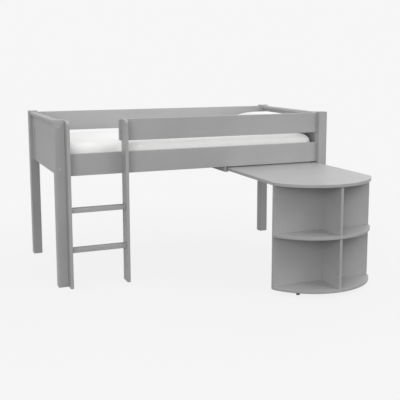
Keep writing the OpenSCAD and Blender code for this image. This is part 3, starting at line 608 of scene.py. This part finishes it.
BED_BOARDS = {
    "front_left_post": Z,
    "front_right_post": Z,
    "back_left_post": Z,
    "back_right_post": Z,
    "lower_front_rail": X,
    "guard_rail": X,
    "lower_back_rail": X,
    "upper_back_rail": X,
    "left_end_cap": Y,
    "left_end_top_rail": Y,
    "left_end_stiles": Z,
    "left_end_panel": Z,
    "right_end_cap": Y,
    "right_end_top_rail": Y,
    "right_end_stiles": Z,
    "right_end_panel": Z,
    "left_stringer": Z,
    "right_stringer": Z,
    "lower_rung": X,
    "upper_rung": X,
    "left_runner": Y,
    "right_runner": Y,
}
DESK_BOARDS = {
    "shelf_back_panel": Z,
    "upper_divider": Z,
    "lower_divider": Z,
    "stop_batten": X,
}
for boards, body in ((BED_BOARDS, "bed_frame"), (DESK_BOARDS, "desk")):
    for node, grain in boards.items():
        eased_board(node, PAINT_ALONG[grain], body)
print("eased boards", len(BED_BOARDS) + len(DESK_BOARDS))

# %% [markdown]
# ## The round-fronted boards of the desk
# The desktop and the two shelves share one plan: straight sides, two round corners and a
# bowed front that is part of a larger circle. A plan made only of arcs is easy to inset,
# because each point just moves towards its own centre. So the board is that plan carried
# up through its thickness, drawn in along a quarter circle at the bottom and at the top.

# %% Desktop and shelves
BOW_RADIUS = 425 * MM
CORNER_RADIUS = 60 * MM
BOARD_EASE = 2.0 * MM
BACK_CORNER = 1.05 * BOARD_EASE  # just over the ease, so drawing it in leaves an arc there
BACK_STEPS = 4
CORNER_STEPS = 14
BOW_STEPS = 72
EASE_POINTS = 5


def arc_points(arcs):
    """Points at centre plus radius times (cos, sin) of the angle, and their outward normals.

    Each arc is a centre, a radius, a first and a last angle in degrees and its steps.
    """
    centres, radii, angles = [], [], []
    for centre, radius, start, stop, steps in arcs:
        turn = np.radians(np.linspace(start, stop, steps + 1))
        centres.append(np.tile(centre, (steps + 1, 1)))
        radii.append(np.full(steps + 1, radius))
        angles.append(turn)
    angles = np.concatenate(angles)
    normals = np.stack([np.cos(angles), np.sin(angles)], axis=1)
    return np.concatenate(centres) + np.concatenate(radii)[:, None] * normals, normals


def bowed_arcs(node):
    """The plan of the desktop, or as much of it as lies in front of the node's back edge.

    The corners touch the bow from inside, so their centres lie on a circle about the bow's
    centre whose radius is the bow's less the corner's. A side ends where it meets the back.
    """
    back_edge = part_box(node)[1].y
    top_low, top_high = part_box("desktop")
    middle = (top_low.x + top_high.x) / 2
    run = (top_high.x - top_low.x) / 2 - CORNER_RADIUS
    drop = math.sqrt((BOW_RADIUS - CORNER_RADIUS) ** 2 - run**2)
    bow_y = top_low.y + BOW_RADIUS
    corner_y = bow_y - drop
    meet = math.degrees(math.atan2(-drop, run))
    back = min(back_edge - BACK_CORNER, corner_y)
    leave = math.degrees(math.asin((back - corner_y) / CORNER_RADIUS))
    edge_x = CORNER_RADIUS * math.cos(math.radians(leave)) + run
    right, left = middle + edge_x - BACK_CORNER, middle - edge_x + BACK_CORNER
    return [
        ((right, back_edge - BACK_CORNER), BACK_CORNER, 0, 90, BACK_STEPS),
        ((left, back_edge - BACK_CORNER), BACK_CORNER, 90, 180, BACK_STEPS),
        ((middle - run, corner_y), CORNER_RADIUS, 180 - leave, 180 - meet, CORNER_STEPS),
        ((middle, bow_y), BOW_RADIUS, 180 - meet, 360 + meet, BOW_STEPS),
        ((middle + run, corner_y), CORNER_RADIUS, meet, leave, CORNER_STEPS),
    ]


def plan_board(name, node, arcs, ease, material, body):
    """Carries a plan up through the node's thickness, with quarter-round edges of size ease."""
    low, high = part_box(node)
    plan, normals = arc_points(arcs)
    turn = np.radians(np.linspace(0, 90, EASE_POINTS))
    inset = ease * np.concatenate([1 - np.sin(turn), 1 - np.cos(turn)])
    rise = np.concatenate([ease * (1 - np.cos(turn)), high.z - low.z - ease * (1 - np.sin(turn))])
    rings = plan[None] - inset[:, None, None] * normals[None]
    heights = np.broadcast_to((low.z + rise)[:, None, None], (*rings.shape[:2], 1))
    points = np.concatenate([rings, heights], axis=2).reshape(-1, 3)
    rows, columns = rings.shape[:2]
    faces = grid_faces(rows, columns)
    faces.append(list(range(columns))[::-1])
    faces.append([(rows - 1) * columns + i for i in range(columns)])
    made = mesh_object(name, points, faces)
    made.data.set_sharp_from_angle(angle=SHARP)
    keep_faces_flat(made)
    made.data.materials.append(material)
    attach(made, body)
    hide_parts(node)
    return made


for name, node, material, slot in (
    ("bowed_desktop", "desktop", TOP_PAINT, "painted_top"),
    ("bowed_middle_shelf", "middle_shelf", PAINT_ALONG[X], "painted_wood"),
    ("bowed_bottom_shelf", "bottom_shelf", PAINT_ALONG[X], "painted_wood"),
):
    board = plan_board(name, node, bowed_arcs(node), BOARD_EASE, material, "desk")
    print(name, len(board.data.polygons), "faces")

# %% [markdown]
# ## Cover caps
# A moulded cap hides each bolt: a disc in the mouth of the hole with a shallow dome. Its
# shape is a profile turned about the bolt's axis, so one profile and a turn make all of
# them, each laid out along the thin direction of the cap that it stands for.

# %% Turned caps
CAP_PROFILE = [(0.75, 0.0), (0.97, 0.06), (1.0, 0.2), (1.0, 0.62)]  # radius, height; shares
DOME_FOOT = 0.97
DOME_TIP = 0.05
DOME_HEIGHT = 0.36
DOME_POWER = 2.6
DOME_STEPS = 9
TURN_STEPS = 40


def turned(profile, steps):
    """A profile of radius and height, turned about Z, with a flat face at each end."""
    profile = np.array(profile)
    angle = np.linspace(0, 2 * np.pi, steps, endpoint=False)
    around = np.stack([np.cos(angle), np.sin(angle)], axis=1)
    rings = profile[:, None, :1] * around[None]
    heights = np.broadcast_to(profile[:, None, 1:], (len(profile), steps, 1))
    points = np.concatenate([rings, heights], axis=2).reshape(-1, 3)
    faces = grid_faces(len(profile), steps)
    faces.append(list(range(steps))[::-1])
    faces.append(list(range(len(points) - steps, len(points))))
    return points, faces


def domed_profile():
    """The cap's disc with a dome whose height falls off as a power of the radius."""
    radius = np.linspace(DOME_FOOT, DOME_TIP, DOME_STEPS)
    height = 1 - DOME_HEIGHT * (radius / DOME_FOOT) ** DOME_POWER
    return CAP_PROFILE + list(zip(radius.tolist(), height.tolist()))


def cover_caps():
    """One mesh of every cap, each turned on its own axis and facing out of the bed."""
    unit, unit_faces = turned(domed_profile(), TURN_STEPS)
    middle = (node_box("upper_back_rail")[0] + node_box("lower_front_rail")[1]) / 2
    points, faces = [], []
    for low, high in solid_boxes("bolt_caps"):
        size, centre = high - low, (low + high) / 2
        axis = int(np.argmin(size))
        outward = 1.0 if centre[axis] > middle[axis] else -1.0
        side, up = [(Y, Z), (Z, X), (X, Y)][axis]
        placed = np.zeros_like(unit)
        placed[:, side] = unit[:, 0] * size[side] / 2 * outward
        placed[:, up] = unit[:, 1] * size[up] / 2
        placed[:, axis] = (unit[:, 2] - 0.5) * size[axis] * outward
        first = len(points) * len(unit)
        faces += [[first + corner for corner in face] for face in unit_faces]
        points.append(placed + centre)
    return mesh_object("cover_caps", np.concatenate(points), faces)


caps = cover_caps()
caps.data.materials.append(CAP_PLASTIC_PAINTED_HIGHLIGHT)
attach(caps, "bed_frame")
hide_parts("bolt_caps")
print("cap faces", len(caps.data.polygons))

# %% [markdown]
# ## Castor wheels
# Each castor is a small moulded wheel with a rounded tread and a dished face round its
# hub. A cylinder with a bevel would have a tread but no dish, so it is a closed profile
# carried round the axle. Its bore stays open, and the axle shows in it.

# %% Turned wheels
WHEEL_STEPS = 72
TREAD_ROUND = 2.2 * MM
TREAD_POINTS = 7
AXLE_BORE = 2.05 * MM
DISH = [(0.80, 1.0), (0.74, 0.80), (0.42, 0.78), (0.36, 0.98)]  # shares of radius, half width
HUB = [(1.08, 0.98), (1.0, 0.92)]  # shares of the bore's radius and of the half width


def wheel_profile(outer, half_width, bore):
    """A closed outline of radius and place along the axle, from the bore round the tread."""
    turn = np.radians(np.linspace(0, 90, TREAD_POINTS))
    corner = np.stack(
        [outer - TREAD_ROUND * (1 - np.cos(turn)), half_width - TREAD_ROUND * (1 - np.sin(turn))],
        axis=1,
    )
    face = np.array(DISH) * [outer, half_width]
    hub = np.array(HUB) * [bore, half_width]
    half = np.concatenate([corner, face, hub])
    other = half[::-1] * [1, -1]
    return np.concatenate([half, other])


def castor_wheel(node, material):
    """Turns the wheel profile about the node's own axle, which runs along X."""
    low, high = node_box(node)
    centre, size = (low + high) / 2, high - low
    profile = wheel_profile(size[Z] / 2, size[X] / 2, AXLE_BORE)
    angle = np.linspace(0, 2 * np.pi, WHEEL_STEPS, endpoint=False)
    points = np.stack(
        [
            np.broadcast_to(profile[:, 1:], (len(profile), WHEEL_STEPS)),
            profile[:, :1] * np.cos(angle),
            profile[:, :1] * np.sin(angle),
        ],
        axis=-1,
    ).reshape(-1, 3)
    faces = grid_faces(len(profile), WHEEL_STEPS, closed_rows=True)
    made = mesh_object(node + "_tyre", points + centre, faces)
    made.data.set_sharp_from_angle(angle=SHARP)
    made.data.materials.append(material)
    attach(made, node)
    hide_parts(node)
    return made


for node in ("left_castor_wheel", "right_castor_wheel"):
    print(castor_wheel(node, TYRE_RUBBER).name)

# %% [markdown]
# ## Finishes of the pieces that stay as drawn
# The slats, battens, dowels and fasteners already have their true shape, so they only
# take a material.

# %% Dress the rest
KEPT_NODES = {
    "slats": (PINE_ALONG_Y, "bare_wood"),
    "front_ledger": (PINE_ALONG_X, "bare_wood"),
    "back_ledger": (PINE_ALONG_X, "bare_wood"),
    "rail_dowels": (PINE_ALONG_X, "bare_wood"),
    "end_dowels": (PINE_ALONG_Y, "bare_wood"),
    "cap_dowels": (PINE_ALONG_Y, "bare_wood"),
    "runner_dowels": (PINE_ALONG_Y, "bare_wood"),
    "desk_dowels": (PINE_ALONG_Y, "bare_wood"),
    "frame_bolts": (ZINC, "zinc_steel"),
    "barrel_nuts": (ZINC, "zinc_steel"),
    "ledger_screws": (ZINC, "zinc_steel"),
    "slat_screws": (ZINC, "zinc_steel"),
    "rung_screws": (ZINC, "zinc_steel"),
    "ladder_screws": (ZINC, "zinc_steel"),
    "runner_screws": (ZINC, "zinc_steel"),
    "batten_screws": (ZINC, "zinc_steel"),
    "shelf_screws": (ZINC, "zinc_steel"),
    "castor_screws": (ZINC, "zinc_steel"),
    "castor_axles": (ZINC, "zinc_steel"),
    "castor_brackets": (BLACK_COAT, "castor_steel"),
}
for node, (material, slot) in KEPT_NODES.items():
    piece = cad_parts[node]
    piece.data.materials.clear()
    piece.data.materials.append(material)
print("kept nodes", len(KEPT_NODES))

# %% [markdown]
# ## Soft forms
# A mattress and a pillow are both rings stacked from the underside to the top: a plan
# with round corners that is drawn in as it rises over an edge. A cube smoothed by
# subdivision would give neither edge its own radius. A pillow's plan is also drawn in
# between its corners, because its case is pulled taut there by the filling.

# %% Rings of a soft piece
CORNER_PARTS = 8


def soft_outline(half_x, half_y, corner, dip, per_side):
    """A rectangle with round corners whose sides draw in by dip times one minus t squared.

    The place t runs from -1 to 1 along each side, which has per_side points.
    """
    arcs = []
    for quarter, (sx, sy) in enumerate(((1, 1), (-1, 1), (-1, -1), (1, -1))):
        centre = (sx * (half_x - corner), sy * (half_y - corner))
        arcs.append((centre, corner, 90 * quarter, 90 * quarter + 90, CORNER_PARTS))
    corners, normals = arc_points(arcs)
    count = CORNER_PARTS + 1
    along = np.linspace(-1, 1, per_side + 2)[1:-1, None]
    pieces = []
    for quarter in range(4):
        last = quarter * count + CORNER_PARTS
        start, stop = corners[last], corners[(last + 1) % len(corners)]
        straight = start + (stop - start) * (along + 1) / 2
        pieces.append(corners[quarter * count : last + 1])
        pieces.append(straight - normals[last] * dip * (1 - along**2))
    return np.concatenate(pieces)


def ring_stack(name, rings):
    """A mesh from rings of equal count, each an outline and its height, closed at both ends."""
    heights = [np.full((len(outline), 1), height) for outline, height in rings]
    points = [np.hstack([outline, height]) for (outline, _), height in zip(rings, heights)]
    columns = len(points[0])
    faces = grid_faces(len(rings), columns)
    faces.append(list(range(columns))[::-1])
    faces.append(list(range((len(rings) - 1) * columns, len(rings) * columns)))
    return mesh_object(name, np.concatenate(points), faces)


# %% [markdown]
# ## Blowing a form up with cloth
# A cover never keeps the shape of a drawing: its filling presses it out until the weave
# is taut. Moving points along their normals would thicken it evenly and leave no taut
# spans, but Blender's Cloth presses as a filling does, inside a closed mesh. The form is
# remeshed to even quads, blown up for twenty frames without gravity, and no point may
# move further than a cap, so the piece stays in its own space. The underside is pinned,
# because it lies on something, and one subdivision smooths the result.

# %% Cloth recipe
PRESSURE = 4.0
CLOTH_QUALITY = 5
LAST_FRAME = 20
TINY = 1e-9  # keeps a length that is divided by above nothing


def set_points(mesh, points):
    """Writes an array of points back into a mesh."""
    mesh.vertices.foreach_set("co", points.ravel())
    mesh.update()


def blown_up(form, voxel, cap, slack):
    """Remeshes a form, runs pressure cloth on it and moves each point by at most cap."""
    remesh = form.modifiers.new("even_quads", "REMESH")
    remesh.mode = "VOXEL"
    remesh.voxel_size = voxel
    tree = bpy.context.evaluated_depsgraph_get()
    mesh = bpy.data.meshes.new_from_object(form.evaluated_get(tree))
    form.modifiers.clear()
    form.data = mesh
    start = mesh_points(mesh)
    pinned = np.flatnonzero(start[:, 2] < start[:, 2].min() + voxel)
    form.vertex_groups.new(name="resting").add(pinned.tolist(), 1.0, "REPLACE")
    cloth = form.modifiers.new("cover", "CLOTH")
    cloth.settings.quality = CLOTH_QUALITY
    cloth.settings.use_pressure = True
    cloth.settings.uniform_pressure_force = PRESSURE
    cloth.settings.shrink_min = -slack
    cloth.settings.vertex_group_mass = "resting"
    cloth.settings.effector_weights.gravity = 0
    cloth.collision_settings.use_collision = False
    cloth.point_cache.frame_end = LAST_FRAME
    for number in range(1, LAST_FRAME + 1):
        bpy.context.scene.frame_set(number)
    tree = bpy.context.evaluated_depsgraph_get()
    moved = mesh_points(form.evaluated_get(tree).data) - start
    form.modifiers.clear()
    form.vertex_groups.clear()
    bpy.context.scene.frame_set(1)
    length = np.linalg.norm(moved, axis=1, keepdims=True)
    print(form.name, len(start), "points, moved up to", round(float(length.max()) / MM, 1), "mm")
    return start + moved * np.minimum(1, cap / np.maximum(length, TINY))


def finish_soft(piece, points, material, node):
    set_points(piece.data, points)
    piece.data.polygons.foreach_set("use_smooth", np.ones(len(piece.data.polygons), bool))
    smooth = piece.modifiers.new("smooth_cover", "SUBSURF")
    smooth.levels = smooth.render_levels = 1
    piece.data.materials.clear()
    piece.data.materials.append(material)
    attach(piece, "bed_frame")
    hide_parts(node)
    print(piece.name, len(piece.data.polygons), "faces before the subdivision")


# %% [markdown]
# ## The mattress
# A foam mattress in a stretched white cover: a long block with large round edges, whose
# top swells a few millimetres. Its cover is a little slack and ripples softly along the
# sides. The ripples are added last, so that neither the remesh nor the cloth can smooth
# them away. The sides are first set in by a ripple's height, and a crown limits the top,
# so the piece stays in the space of its node.

# %% Mattress
MATTRESS_EDGE = 58 * MM
MATTRESS_CORNER = 28 * MM
LEAST_CORNER = 12 * MM
MATTRESS_CROWN = 6 * MM
MATTRESS_SPARE = 1 * MM  # left for the cloth to swell into; what swells further is cut back
MATTRESS_SIDE_POINTS = 60
MATTRESS_RINGS = 9
MATTRESS_VOXEL = 14 * MM
MATTRESS_SWELL = 5 * MM
MATTRESS_SLACK = 0.004
RIPPLE = 1.2 * MM
RIPPLE_FOOT = 60 * MM  # the ripples grow from nothing at the underside to full at this height
RIPPLE_RATE = 38  # this and the rates below are radians per metre
RIPPLE_BEND = 9
BEND_RATE = 2.3
RIPPLE_SLANT = 14
PATCHES = ((5.1, 3.7, 0), (-4.1, 7.3, 2))  # rate along, rate across and start of each fading


def mattress_form():
    """Rings up a quarter circle at the bottom edge and one at the top, then a crowned top.

    The crown rises by its height times one less the square of the share still to the middle.
    """
    low, high = node_box("mattress")
    half = (high - low) / 2 - MATTRESS_SPARE
    middle = (high + low) / 2
    turn = np.radians(np.linspace(0, 90, MATTRESS_RINGS))
    foot, head = low[Z], high[Z] - MATTRESS_SPARE - MATTRESS_CROWN
    steps = [(1 - np.sin(w), foot + MATTRESS_EDGE * (1 - np.cos(w))) for w in turn]
    steps += [(1 - np.cos(w), head - MATTRESS_EDGE * (1 - np.sin(w))) for w in turn]
    rings = []
    for share, height in steps:
        inset = MATTRESS_EDGE * share
        corner = max(MATTRESS_CORNER - inset / 2, LEAST_CORNER)
        plan = soft_outline(half[X] - inset, half[Y] - inset, corner, 0, MATTRESS_SIDE_POINTS)
        rings.append((plan + middle[:2], height))
    inner = half[Y] - MATTRESS_EDGE - LEAST_CORNER - MATTRESS_SPARE
    for share in np.linspace(0, 1, MATTRESS_RINGS)[1:]:
        inset = MATTRESS_EDGE + share * inner
        plan = soft_outline(half[X] - inset, half[Y] - inset, LEAST_CORNER, 0, MATTRESS_SIDE_POINTS)
        rings.append((plan + middle[:2], head + MATTRESS_CROWN * (1 - (1 - share) ** 2)))
    return ring_stack("foam_mattress", rings)


def mattress_limit(points):
    """A height for each point that the cover may not pass: a crown like the form's own."""
    low, high = node_box("mattress")
    inset = np.minimum(points[:, :2] - low[:2], high[:2] - points[:, :2]).min(axis=1)
    span = (high[Y] - low[Y]) / 2 - MATTRESS_EDGE
    share = np.clip((inset - MATTRESS_EDGE) / span, 0, 1)
    return high[Z] - MATTRESS_CROWN * (1 - share) ** 2


def ripples(points):
    """Slanting waves, about 165 mm apart on average, that fade in and out in patches.

    Each is a sine whose place is shifted by a slower sine, times one sine for each fading.
    """
    x, y, z = points.T
    wave = np.sin(RIPPLE_RATE * x + RIPPLE_BEND * np.sin(BEND_RATE * x + 1) + RIPPLE_SLANT * z)
    for along, across, start in PATCHES:
        wave = wave * np.sin(along * x + across * y + start)
    return wave


mattress = mattress_form()
points = blown_up(mattress, MATTRESS_VOXEL, MATTRESS_SWELL, MATTRESS_SLACK)
low, high = node_box("mattress")
aside = np.clip((points[:, Z] - low[Z]) / RIPPLE_FOOT, 0, 1) * RIPPLE * ripples(points)
outward = np.sign(points[:, Y] - (low[Y] + high[Y]) / 2)
points[:, Y] += outward * aside - outward * RIPPLE * (np.abs(aside) > 0)
points = np.clip(points, low, high)
points[:, Z] = np.minimum(points[:, Z], mattress_limit(points))
finish_soft(mattress, points, COVER_CLOTH, "mattress")

# %% [markdown]
# ## The pillow
# A filled cotton case: two sheets sewn at the edge and blown up by the filling, so its
# sides draw in between its corners and its top is crowned. The remesh erases the sewn
# edge, so the seam is drawn after it: a thin ridge at the height of the seam between two
# shallow hollows where the stitches pull the cloth in.

# %% Pillow
PILLOW_CORNER = 34 * MM
PILLOW_DIP = 22 * MM
PILLOW_SEAM_SHARE = 0.3
PILLOW_FLAT = 0.55  # the share of the plan that lies flat on the mattress
PILLOW_UNDER = 2.2
PILLOW_SPREAD = 2.5
PILLOW_FALL = 0.8
PILLOW_TIP = 0.04  # the top closes once the plan has shrunk to this share
PILLOW_SPARE = 11 * MM  # left for the cloth to swell into
PILLOW_SIDE_POINTS = 40
PILLOW_RINGS = 22
PILLOW_VOXEL = 6 * MM
PILLOW_SWELL = 9 * MM
PILLOW_SLACK = 0.02
SEAM_RIDGE = 2.0 * MM
SEAM_WIDTH = 4 * MM
SEAM_HOLLOW = 1.6 * MM
HOLLOW_PLACE = 2.2  # from the seam, in seam widths
SEAM_START = 0.8  # the seam fades in from this share of the way to the side
SEAM_FADE = 0.1


def pillow_form():
    """Rings whose plan is the pillow's outline times a share s.

    Below the seam the height is a power of how far s lies past the flat underside. Above it
    the height is one less s to the spread, all to the power of the fall.
    """
    low, high = node_box("pillow")
    half = (high - low) / 2 - PILLOW_SPARE
    middle = (high + low) / 2
    seam = low[Z] + PILLOW_SEAM_SHARE * (high[Z] - low[Z])
    rise = high[Z] - PILLOW_SPARE - seam
    shares = np.sin(np.linspace(0, np.pi / 2, PILLOW_RINGS))
    below = [
        (s, low[Z] + (seam - low[Z]) * ((s - PILLOW_FLAT) / (1 - PILLOW_FLAT)) ** PILLOW_UNDER)
        for s in shares[shares > PILLOW_FLAT]
    ]
    above = [
        (s, seam + rise * (1 - s**PILLOW_SPREAD) ** PILLOW_FALL)
        for s in shares[::-1][1:]
        if s > PILLOW_TIP
    ]
    rings = []
    for s, height in [(PILLOW_FLAT, low[Z])] + below + above:
        dip = s * s * PILLOW_DIP
        plan = soft_outline(s * half[X], s * half[Y], s * PILLOW_CORNER, dip, PILLOW_SIDE_POINTS)
        rings.append((plan + middle[:2], height))
    return ring_stack("cotton_pillow", rings)


def sewn_edge(points):
    """Moves points sideways at the seam: a bell-shaped ridge less a bell on each side of it.

    Each bell is e to the minus square of the height from its middle, in seam widths.
    """
    low, high = node_box("pillow")
    middle, half = (high + low) / 2, (high - low) / 2
    seam = low[Z] + PILLOW_SEAM_SHARE * (high[Z] - low[Z])
    reach = np.abs((points[:, :2] - middle[:2]) / half[:2]).max(axis=1)
    near = np.clip((reach - SEAM_START) / SEAM_FADE, 0, 1)
    away = np.abs(points[:, Z] - seam) / SEAM_WIDTH
    ridge = SEAM_RIDGE * np.exp(-(away**2)) - SEAM_HOLLOW * np.exp(-((away - HOLLOW_PLACE) ** 2))
    way = (points[:, :2] - middle[:2]) / half[:2] ** 2
    way /= np.linalg.norm(way, axis=1, keepdims=True) + TINY
    points[:, :2] += way * (near * ridge)[:, None]
    return points


pillow = pillow_form()
points = sewn_edge(blown_up(pillow, PILLOW_VOXEL, PILLOW_SWELL, PILLOW_SLACK))
points = np.clip(points, *node_box("pillow"))
finish_soft(pillow, points, CASE_CLOTH, "pillow")

# %% [markdown]
# ## The floor
# The bed stands on an even pale ground. A lit floor alone would turn grey towards the back
# and show a horizon. So to the camera and in reflections it is mostly an even tone, mixed
# with a little lit paint that carries the soft shadow near the bed and fades out farther
# away. To other rays it is a dull surface, so it throws little light up under the bed.

# %% Floor
GROUND = "#f6f6f6"
FLOOR_PAINT = "#dadada"
FLOOR_BOUNCE = "#404040"
FLOOR_SIDE = 60.0
SHADOW_SHARE = 0.08
SHADOW_REACH = (1.4, 3.0)  # the lit share falls to nothing between these distances


def pale_floor():
    """A square floor: even ground to the camera with a soft shadow, and a dull bounce."""
    side = FLOOR_SIDE / 2
    points = [(-side, -side, 0), (side, -side, 0), (side, side, 0), (-side, side, 0)]
    floor = mesh_object("studio_floor", points, [[0, 1, 2, 3]], smooth=False)
    material, tree, output, place = new_material("Pale_studio_floor")
    rays = add(tree, "LightPath")
    seen = add(
        tree,
        "Math",
        {"operation": "MAXIMUM"},
        {0: rays.outputs["Is Camera Ray"], 1: rays.outputs["Is Glossy Ray"]},
    )
    far = add(tree, "VectorMath", {"operation": "LENGTH"}, {0: place})
    shadow = add(
        tree,
        "MapRange",
        {
            "From Min": SHADOW_REACH[0],
            "From Max": SHADOW_REACH[1],
            "To Min": SHADOW_SHARE,
            "To Max": 0.0,
        },
        {"Value": far.outputs["Value"]},
    )
    paint = add(tree, "BsdfDiffuse", {"Color": linear(FLOOR_PAINT)})
    bounce = add(tree, "BsdfDiffuse", {"Color": linear(FLOOR_BOUNCE)})
    glow = add(tree, "Emission", {"Color": linear(GROUND), "Strength": 1.0})
    look = add(
        tree,
        "MixShader",
        links={0: shadow.outputs["Result"], 1: glow.outputs[0], 2: paint.outputs[0]},
    )
    final = add(
        tree, "MixShader", links={0: seen.outputs[0], 1: bounce.outputs[0], 2: look.outputs[0]}
    )
    tree.links.new(final.outputs[0], output.inputs["Surface"])
    floor.data.materials.append(material)
    return floor


print("floor", pale_floor().name)

# %% [markdown]
# ## The world
# The room's walls and ceiling throw a soft light that is stronger from above. A picture of
# a studio would do this too, but a level that rises with height is enough for satin paint.
# The camera alone sees the ground's tone in its place, and reflections see the dome.

# %% World
DOME_LOW, DOME_HIGH = 0.57, 1.04


def studio_world():
    """A dome whose strength grows with height, and that the camera sees as the ground's tone."""
    world = bpy.data.worlds.new("studio_world")
    bpy.context.scene.world = world
    world.use_nodes = True
    tree = world.node_tree
    tree.nodes.clear()
    output = tree.nodes.new("ShaderNodeOutputWorld")
    way = add(tree, "TexCoord")
    split = add(tree, "SeparateXYZ", links={0: way.outputs["Generated"]})
    level = add(
        tree,
        "MapRange",
        {"From Min": 0.0, "From Max": 1.0, "To Min": DOME_LOW, "To Max": DOME_HIGH},
        {"Value": split.outputs["Z"]},
    )
    dome = add(tree, "Background", {"Color": (1, 1, 1, 1)}, {"Strength": level.outputs["Result"]})
    ground = add(tree, "Background", {"Color": linear(GROUND), "Strength": 1.0})
    rays = add(tree, "LightPath")
    final = add(
        tree,
        "MixShader",
        links={0: rays.outputs["Is Camera Ray"], 1: dome.outputs[0], 2: ground.outputs[0]},
    )
    tree.links.new(final.outputs[0], output.inputs["Surface"])


studio_world()
print("dome", DOME_LOW, "to", DOME_HIGH)

# %% [markdown]
# ## The lamps
# Three large soft boxes, one low at the front left and two high at the right, light the
# bed's faces by different amounts, which tells them apart. One lamp would leave a hard
# dark side, and a bright one would wash the white cloth out, so the power of each was
# fitted to the greys of the photograph.

# %% Lamps
BOX_SIDE = 2.4
AIM = (0.0, 0.0, 0.6)
SOFT_BOXES = {
    "front_left_soft_box": ((-3.5, -5.0, 2.2), 95),
    "front_right_soft_box": ((3.5, -4.2, 4.2), 69),
    "back_right_soft_box": ((3.5, 1.4, 4.2), 54),
}


def soft_box(name, place, watts):
    """A square area lamp that looks from its place at the bed's middle."""
    data = bpy.data.lights.new(name, "AREA")
    data.shape = "SQUARE"
    data.size = BOX_SIDE
    data.energy = watts
    lamp = bpy.data.objects.new(name, data)
    way = Vector(AIM) - Vector(place)
    lamp.location = place
    lamp.rotation_euler = way.to_track_quat("-Z", "Y").to_euler()
    bpy.context.scene.collection.objects.link(lamp)


for name, (place, watts) in SOFT_BOXES.items():
    soft_box(name, place, watts)
    print(name, watts, "W")

# %% [markdown]
# ## View
# The Standard view keeps each colour as it is written, where a filmic one would bend the
# greys that were matched.

# %% View settings
bpy.context.scene.view_settings.view_transform = "Standard"
print("view", bpy.context.scene.view_settings.view_transform)
